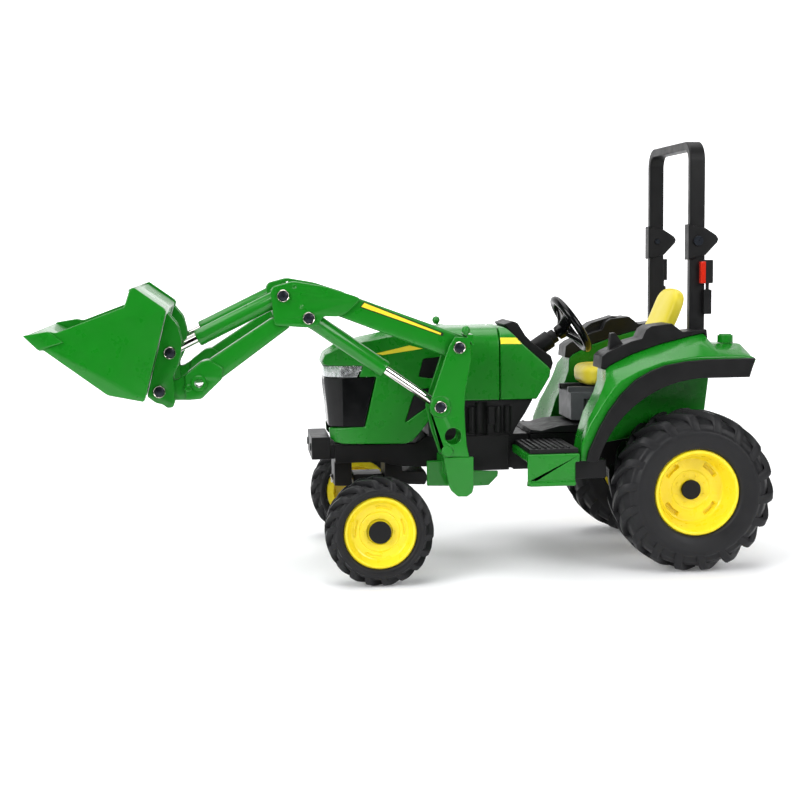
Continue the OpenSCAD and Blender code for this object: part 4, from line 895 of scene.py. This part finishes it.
def decal(name, corners, side, target, material, lift, body, slot):
    """A printed strip laid on a piece: a grid spread between four side-view corners, drawn straight along
    Y onto the surface of the target, and given a thickness."""
    a, b, c, d = at(GROUND, corners)
    u, v = np.linspace(0, 1, 40)[:, None, None], np.linspace(0, 1, 8)[None, :, None]
    flat = (1 - v) * ((1 - u) * a + u * b) + v * ((1 - u) * d + u * c)
    points = np.stack([flat[..., 0], np.full(flat.shape[:2], side * STRIP_START), flat[..., 1]], -1)
    piece = new_object(name, grid(points))
    wrap = piece.modifiers.new("laid on", "SHRINKWRAP")
    wrap.wrap_method, wrap.wrap_mode, wrap.target = "PROJECT", "ABOVE_SURFACE", bpy.data.objects[target]
    wrap.use_project_y, wrap.use_positive_direction, wrap.use_negative_direction = True, side < 0, side > 0
    wrap.offset = lift * MM
    piece.data = evaluated(piece)
    work = bmesh.new()
    work.from_mesh(piece.data)
    missed = [v for v in work.verts if abs(v.co.y) > 0.9 * STRIP_START * MM]
    bmesh.ops.delete(work, geom=missed, context="VERTS")
    work.to_mesh(piece.data)
    work.free()
    film = piece.modifiers.new("film", "SOLIDIFY")
    film.thickness, film.offset = 0.04 * MM, 0
    piece.data = evaluated(piece)
    smooth_shade(piece, 60)
    return place(piece, body, slot, material)


def stripes():
    """Plain yellow strips on the boom, hood and cowl, with a thin black edge on the boom's."""
    for side, hand in ((-1, "left"), (1, "right")):
        boom = "welded_boom_arm_" + hand
        decal("boom_strip_edge_" + hand, [[-3.1, 95.1], [24, 84], [23.6, 82.9], [-4.6, 93.2]], side, boom,
              "black_vinyl", 0.05, "boom", "black_plastic")
        decal("boom_strip_" + hand, [[-3.0, 94.7], [23.1, 84], [22.9, 83.4], [-4.1, 93.4]], side, boom,
              "yellow_vinyl",
              0.11, "boom", "yellow_plastic")
        decal("hood_strip_" + hand, [[2.5, 76.1], [14.3, 78.8], [19, 77.6], [4.8, 75.5]], side, "soft_hood",
              "yellow_vinyl", 0.07, "chassis", "yellow_plastic")
        decal("cowl_strip_" + hand, [[38.2, 81.1], [54.3, 80.8], [54.3, 78.6], [38.2, 78.9]], side,
              "soft_cowl",
              "yellow_vinyl", 0.07, "chassis", "yellow_plastic")


def lamps():
    """Rear lamp boxes: black housings with an upright strip of red lens along the front corner."""
    low, high = extent("rear_lamps")
    softened("rear_lamps", 0.3, "chassis", "black_plastic", "black_abs")
    strip = brick((low[0] - 0.05, high[1] - 2.4, high[2] - 8.2),
                  (low[0] + 1.7, high[1] + 0.06, high[2] - 0.5), 0.15)
    make("red_lens", both(strip), "chassis", "lamp_red", "lamp_red")


def moulded_rest():
    """The pieces whose CAD shape is already the real one: copies with rounded edges and their finish."""
    rows = [(n, "chassis", "black_plastic", "black_abs") for n in (
        "chassis_frame", "front_bumper", "engine_block", "rear_axle_housing", "drawbar", "hood_vents",
        "dash_panel", "steering_column", "console_left", "console_right", "rops_posts", "fender_trim_left",
        "fender_trim_right", "rear_hub_caps")]
    rows += [(n, "chassis", "green_plastic", "green_abs", 0.5) for n in ("hood", "cowl", "floor_deck",
                                                                         "fender_left",
             "fender_right")]
    rows += [(n, "chassis", "green_metal", "green_enamel") for n in ("mast_left", "mast_right",
                                                                     "mast_brackets")]
    rows += [("fuel_cap", "chassis", "green_plastic", "green_abs", 0.15),
             ("mast_knobs", "chassis", "green_metal", "green_enamel", 0.1),
             ("grille", "chassis", "black_plastic", "gloss_black"),
             ("floor_mats", "chassis", "black_plastic", "mat_rubber", 0.15),
             ("headlights", "chassis", "lamp_clear", "lamp_reflector", 0.1),
             ("seat_base", "chassis", "grey_plastic", "grey_abs"),
             ("rops_pins", "chassis", "pin_steel", "black_oxide", 0.1),
             ("rear_axle_shaft", "chassis", "pin_steel", "nickel_plate", 0.1),
             ("rocking_pin", "chassis", "pin_steel", "nickel_plate", 0.1),
             ("rops_hoop", "roll_bar", "black_plastic", "black_abs", 0.6),
             ("boom_cross_tube", "boom", "green_metal", "green_enamel"),
             ("front_axle", "front_axle", "black_plastic", "black_abs"),
             ("knuckle_left", "steer_left", "black_plastic", "black_abs"),
             ("knuckle_right", "steer_right", "black_plastic", "black_abs"),
             ("tie_rod", "tie_rod", "black_plastic", "black_abs")]
    finish_nodes(rows)


# ---------------------------------------------------------------- stage


def stage(settings):
    """A pale floor that curves up into a backdrop, a soft studio light rig and the camera."""
    scene = bpy.context.scene
    scene.view_settings.view_transform = "Standard"
    run = np.linspace(0, 1, 40)
    depth = np.concatenate([[-0.36], 1.2 + 0.9 * np.sin(run * np.pi / 2), [2.1]])
    height = np.concatenate([[0.0], 0.9 * (1 - np.cos(run * np.pi / 2)), [3.2]])
    across = np.linspace(-4, 4, 9)
    points = np.stack([np.broadcast_to(across[None], (42, 9)), np.broadcast_to(depth[:, None], (42, 9)),
                       np.broadcast_to(height[:, None], (42, 9))], -1) / MM
    floor = new_object("studio_floor", grid(points))
    smooth_shade(floor)
    tree, principled, coords = blank("paper_sweep", Roughness=0.75, IOR=1.4)
    tree.links.new(tinted(tree, coords, "#F7F7F8", "#F1F2F4", 400), principled.inputs["Base Color"])
    principled.inputs["Emission Color"].default_value = linear("#FFFFFF")
    # The paper glows more toward the backdrop, which the lamps hardly reach.
    away = add(tree, "SeparateXYZ", {"Vector": coords}).outputs["Y"]
    glow = add(tree, "MapRange",
               {"Value": away, "From Min": 0.15, "From Max": 1.3, "To Min": settings.sweep_glow,
                                  "To Max": 0.9})
    tree.links.new(glow.outputs["Result"], principled.inputs["Emission Strength"])
    floor.data.materials.append(MATERIALS["paper_sweep"])

    world = bpy.data.worlds.new("studio")
    scene.world = world
    world.use_nodes = True
    tree = world.node_tree
    # The surround brightens upward and away from the camera, so faces toward the camera stay deep in colour.
    way = add(tree, "SeparateXYZ", {"Vector": add(tree, "TexCoord").outputs["Generated"]}).outputs
    lift = add(tree, "Math", {0: way["Z"], 1: 0.8, 2: 0.0}, operation="MULTIPLY")
    rise = add(tree, "Math", {0: way["Y"], 1: 0.75, 2: lift.outputs[0]}, operation="MULTIPLY_ADD")
    room = add(tree, "MapRange",
               {"Value": rise.outputs[0], "From Min": -0.25, "From Max": 0.75, "To Min": settings.dark_side,
                                  "To Max": settings.world_light})
    seen = add(tree, "Mix",
               {"Factor": add(tree, "LightPath").outputs["Is Camera Ray"], "A": room.outputs["Result"],
                "B": 1.0})
    tree.links.new(seen.outputs["Result"], tree.nodes["Background"].inputs["Strength"])

    def softbox(name, place_m, size, power, aim=(0.0, 0.0, 0.06)):
        light = bpy.data.lights.new(name, "AREA")
        light.shape, light.size, light.size_y, light.energy = "RECTANGLE", size[0], size[1], power
        lamp = bpy.data.objects.new(name, light)
        lamp.location = place_m
        lamp.rotation_euler = (Vector(aim) - Vector(place_m)).to_track_quat("-Z", "Y").to_euler()
        scene.collection.objects.link(lamp)

    softbox("top_softbox", (-0.1, 0.05, 1.1), (1.3, 0.9), settings.key_light)
    softbox("left_softbox", (-0.95, -0.75, 0.62), (0.7, 0.6), settings.fill_light)
    softbox("right_softbox", (0.75, -0.95, 0.62), (0.7, 0.6), settings.side_light)

    camera = bpy.data.cameras.new("camera")
    camera.sensor_width, camera.lens = 36.0, settings.lens
    camera.clip_start, camera.clip_end = 0.01, 20
    eye = bpy.data.objects.new("camera", camera)
    turn = (Matrix.Rotation(-settings.yaw, 3, "Z") @ Matrix.Rotation(math.pi / 2 + settings.pitch, 3, "X")
            @ Matrix.Rotation(settings.roll, 3, "Z"))
    eye.matrix_world = Matrix.Translation(settings.camera_place) @ turn.to_4x4()
    scene.collection.objects.link(eye)
    scene.camera = eye


# ---------------------------------------------------------------- add-on


class LoaderColours(bpy.types.PropertyGroup):
    """Colours of the toy, as sRGB hex codes"""

    green: StringProperty(name="Green", description="Main green", default="#137C19")
    green_shade: StringProperty(name="Green shade", description="Where the green drifts to",
                                default="#117516")
    yellow: StringProperty(name="Yellow", description="Rims and seat", default="#F6E02B")
    yellow_shade: StringProperty(name="Yellow shade", description="Where the yellow drifts to",
                                 default="#EFD426")
    black: StringProperty(name="Black", description="Satin black mouldings", default="#0C0C0D")
    black_shade: StringProperty(name="Black shade", description="Where the black drifts to",
                                default="#101011")
    rubber: StringProperty(name="Rubber", description="Tyres", default="#171719")
    rubber_shade: StringProperty(name="Rubber shade", description="Bloom on the tyres", default="#1E1E20")


class LoaderSizes(bpy.types.PropertyGroup):
    """Sizes of the finer detail"""

    tread_height: FloatProperty(name="Tread height", description="Height of the tread bars", default=0.0019,
                                min=0.0005, max=0.004, unit="LENGTH", precision=4)
    tread_count: IntProperty(name="Tread bars", description="Bars on each side of a tyre", default=18,
                             min=8, max=30)


class LoaderStage(bpy.types.PropertyGroup):
    """Camera and lights"""

    camera_place: FloatVectorProperty(name="Camera place", description="Where the camera stands",
                                      default=(-0.058836, -0.537486, 0.11268), subtype="TRANSLATION")
    yaw: FloatProperty(name="Yaw", description="Turn to the right of +Y", default=math.radians(6.368),
                       subtype="ANGLE")
    pitch: FloatProperty(name="Pitch", description="Tilt above level", default=math.radians(-5.794),
                         subtype="ANGLE")
    roll: FloatProperty(name="Roll", description="Roll about the view", default=math.radians(-0.689),
                        subtype="ANGLE")
    lens: FloatProperty(name="Lens", description="Focal length in mm", default=66.97, min=10, max=300)
    world_light: FloatProperty(name="World light", description="Strength of the white surround", default=0.85)
    key_light: FloatProperty(name="Top light", description="Power of the top softbox in watts", default=12.0)
    fill_light: FloatProperty(name="Left light", description="Power of the left softbox in watts",
                              default=13.0)
    side_light: FloatProperty(name="Right light", description="Power of the right softbox in watts",
                              default=9.0)
    dark_side: FloatProperty(name="Dark side", description="Strength of the surround behind the camera",
                             default=0.04)
    sweep_glow: FloatProperty(name="Sweep glow", description="Light the paper gives by itself", default=0.1)


class LOADER_OT_materials(bpy.types.Operator):
    """Make every finish"""

    bl_idname = "loader.materials"
    bl_label = "Finishes"

    def execute(self, context):
        make_materials(context.scene.loader_colours)
        return {"FINISHED"}


class LOADER_OT_wheels(bpy.types.Operator):
    """Make the four tyres and rims"""

    bl_idname = "loader.wheels"
    bl_label = "Wheels"

    def execute(self, context):
        for side in ("left", "right"):
            rear_rim(side)
            front_rim(side)
            for end in ("front", "rear"):
                tyre(end, side, context.scene.loader_sizes)
        return {"FINISHED"}


class LOADER_OT_loader(bpy.types.Operator):
    """Make the loader's arms, cylinders, bucket and pins"""

    bl_idname = "loader.arms"
    bl_label = "Loader"

    def execute(self, context):
        for side in ("left", "right"):
            boom_arm(side)
        cylinders()
        bucket()
        pins()
        return {"FINISHED"}


class LOADER_OT_rest(bpy.types.Operator):
    """Finish the pieces that keep their CAD shape"""

    bl_idname = "loader.rest"
    bl_label = "Rest"

    def execute(self, context):
        moulded_rest()
        return {"FINISHED"}


class LOADER_OT_seat(bpy.types.Operator):
    """Make the seat"""

    bl_idname = "loader.seat"
    bl_label = "Seat"

    def execute(self, context):
        seat()
        return {"FINISHED"}


class LOADER_OT_steering(bpy.types.Operator):
    """Make the steering wheel"""

    bl_idname = "loader.steering"
    bl_label = "Steering wheel"

    def execute(self, context):
        steering_wheel()
        return {"FINISHED"}


class LOADER_OT_lamps(bpy.types.Operator):
    """Make the rear lamps"""

    bl_idname = "loader.lamps"
    bl_label = "Lamps"

    def execute(self, context):
        lamps()
        return {"FINISHED"}


class LOADER_OT_strips(bpy.types.Operator):
    """Lay the yellow strips on the boom, hood and cowl"""

    bl_idname = "loader.strips"
    bl_label = "Strips"

    def execute(self, context):
        stripes()
        return {"FINISHED"}


class LOADER_OT_stage(bpy.types.Operator):
    """Make the floor, lights and camera"""

    bl_idname = "loader.stage"
    bl_label = "Stage"

    def execute(self, context):
        stage(context.scene.loader_stage)
        return {"FINISHED"}


OPERATORS = (LOADER_OT_materials, LOADER_OT_wheels, LOADER_OT_loader, LOADER_OT_rest, LOADER_OT_seat,
             LOADER_OT_steering, LOADER_OT_lamps, LOADER_OT_strips, LOADER_OT_stage)


class LOADER_PT_panel(bpy.types.Panel):
    """Buttons for every group of pieces"""

    bl_idname = "LOADER_PT_panel"
    bl_label = "Toy front loader"
    bl_space_type = "VIEW_3D"
    bl_region_type = "UI"
    bl_category = "Toy Loader"

    def draw(self, context):
        for group in (context.scene.loader_colours, context.scene.loader_sizes, context.scene.loader_stage):
            box = self.layout.box()
            for name in group.__annotations__:
                box.prop(group, name)
        for operator in OPERATORS:
            self.layout.operator(operator.bl_idname)


GROUPS = {"loader_colours": LoaderColours, "loader_sizes": LoaderSizes, "loader_stage": LoaderStage}
CLASSES = (*GROUPS.values(), *OPERATORS, LOADER_PT_panel)


def register():
    for cls in CLASSES:
        bpy.utils.register_class(cls)
    for name, group in GROUPS.items():
        setattr(bpy.types.Scene, name, PointerProperty(type=group))


def unregister():
    for name in GROUPS:
        delattr(bpy.types.Scene, name)
    for cls in reversed(CLASSES):
        bpy.utils.unregister_class(cls)


def main():
    register()
    for operator in OPERATORS:
        group, name = operator.bl_idname.split(".")
        getattr(getattr(bpy.ops, group), name)()


if __name__ == "__main__":
    main()
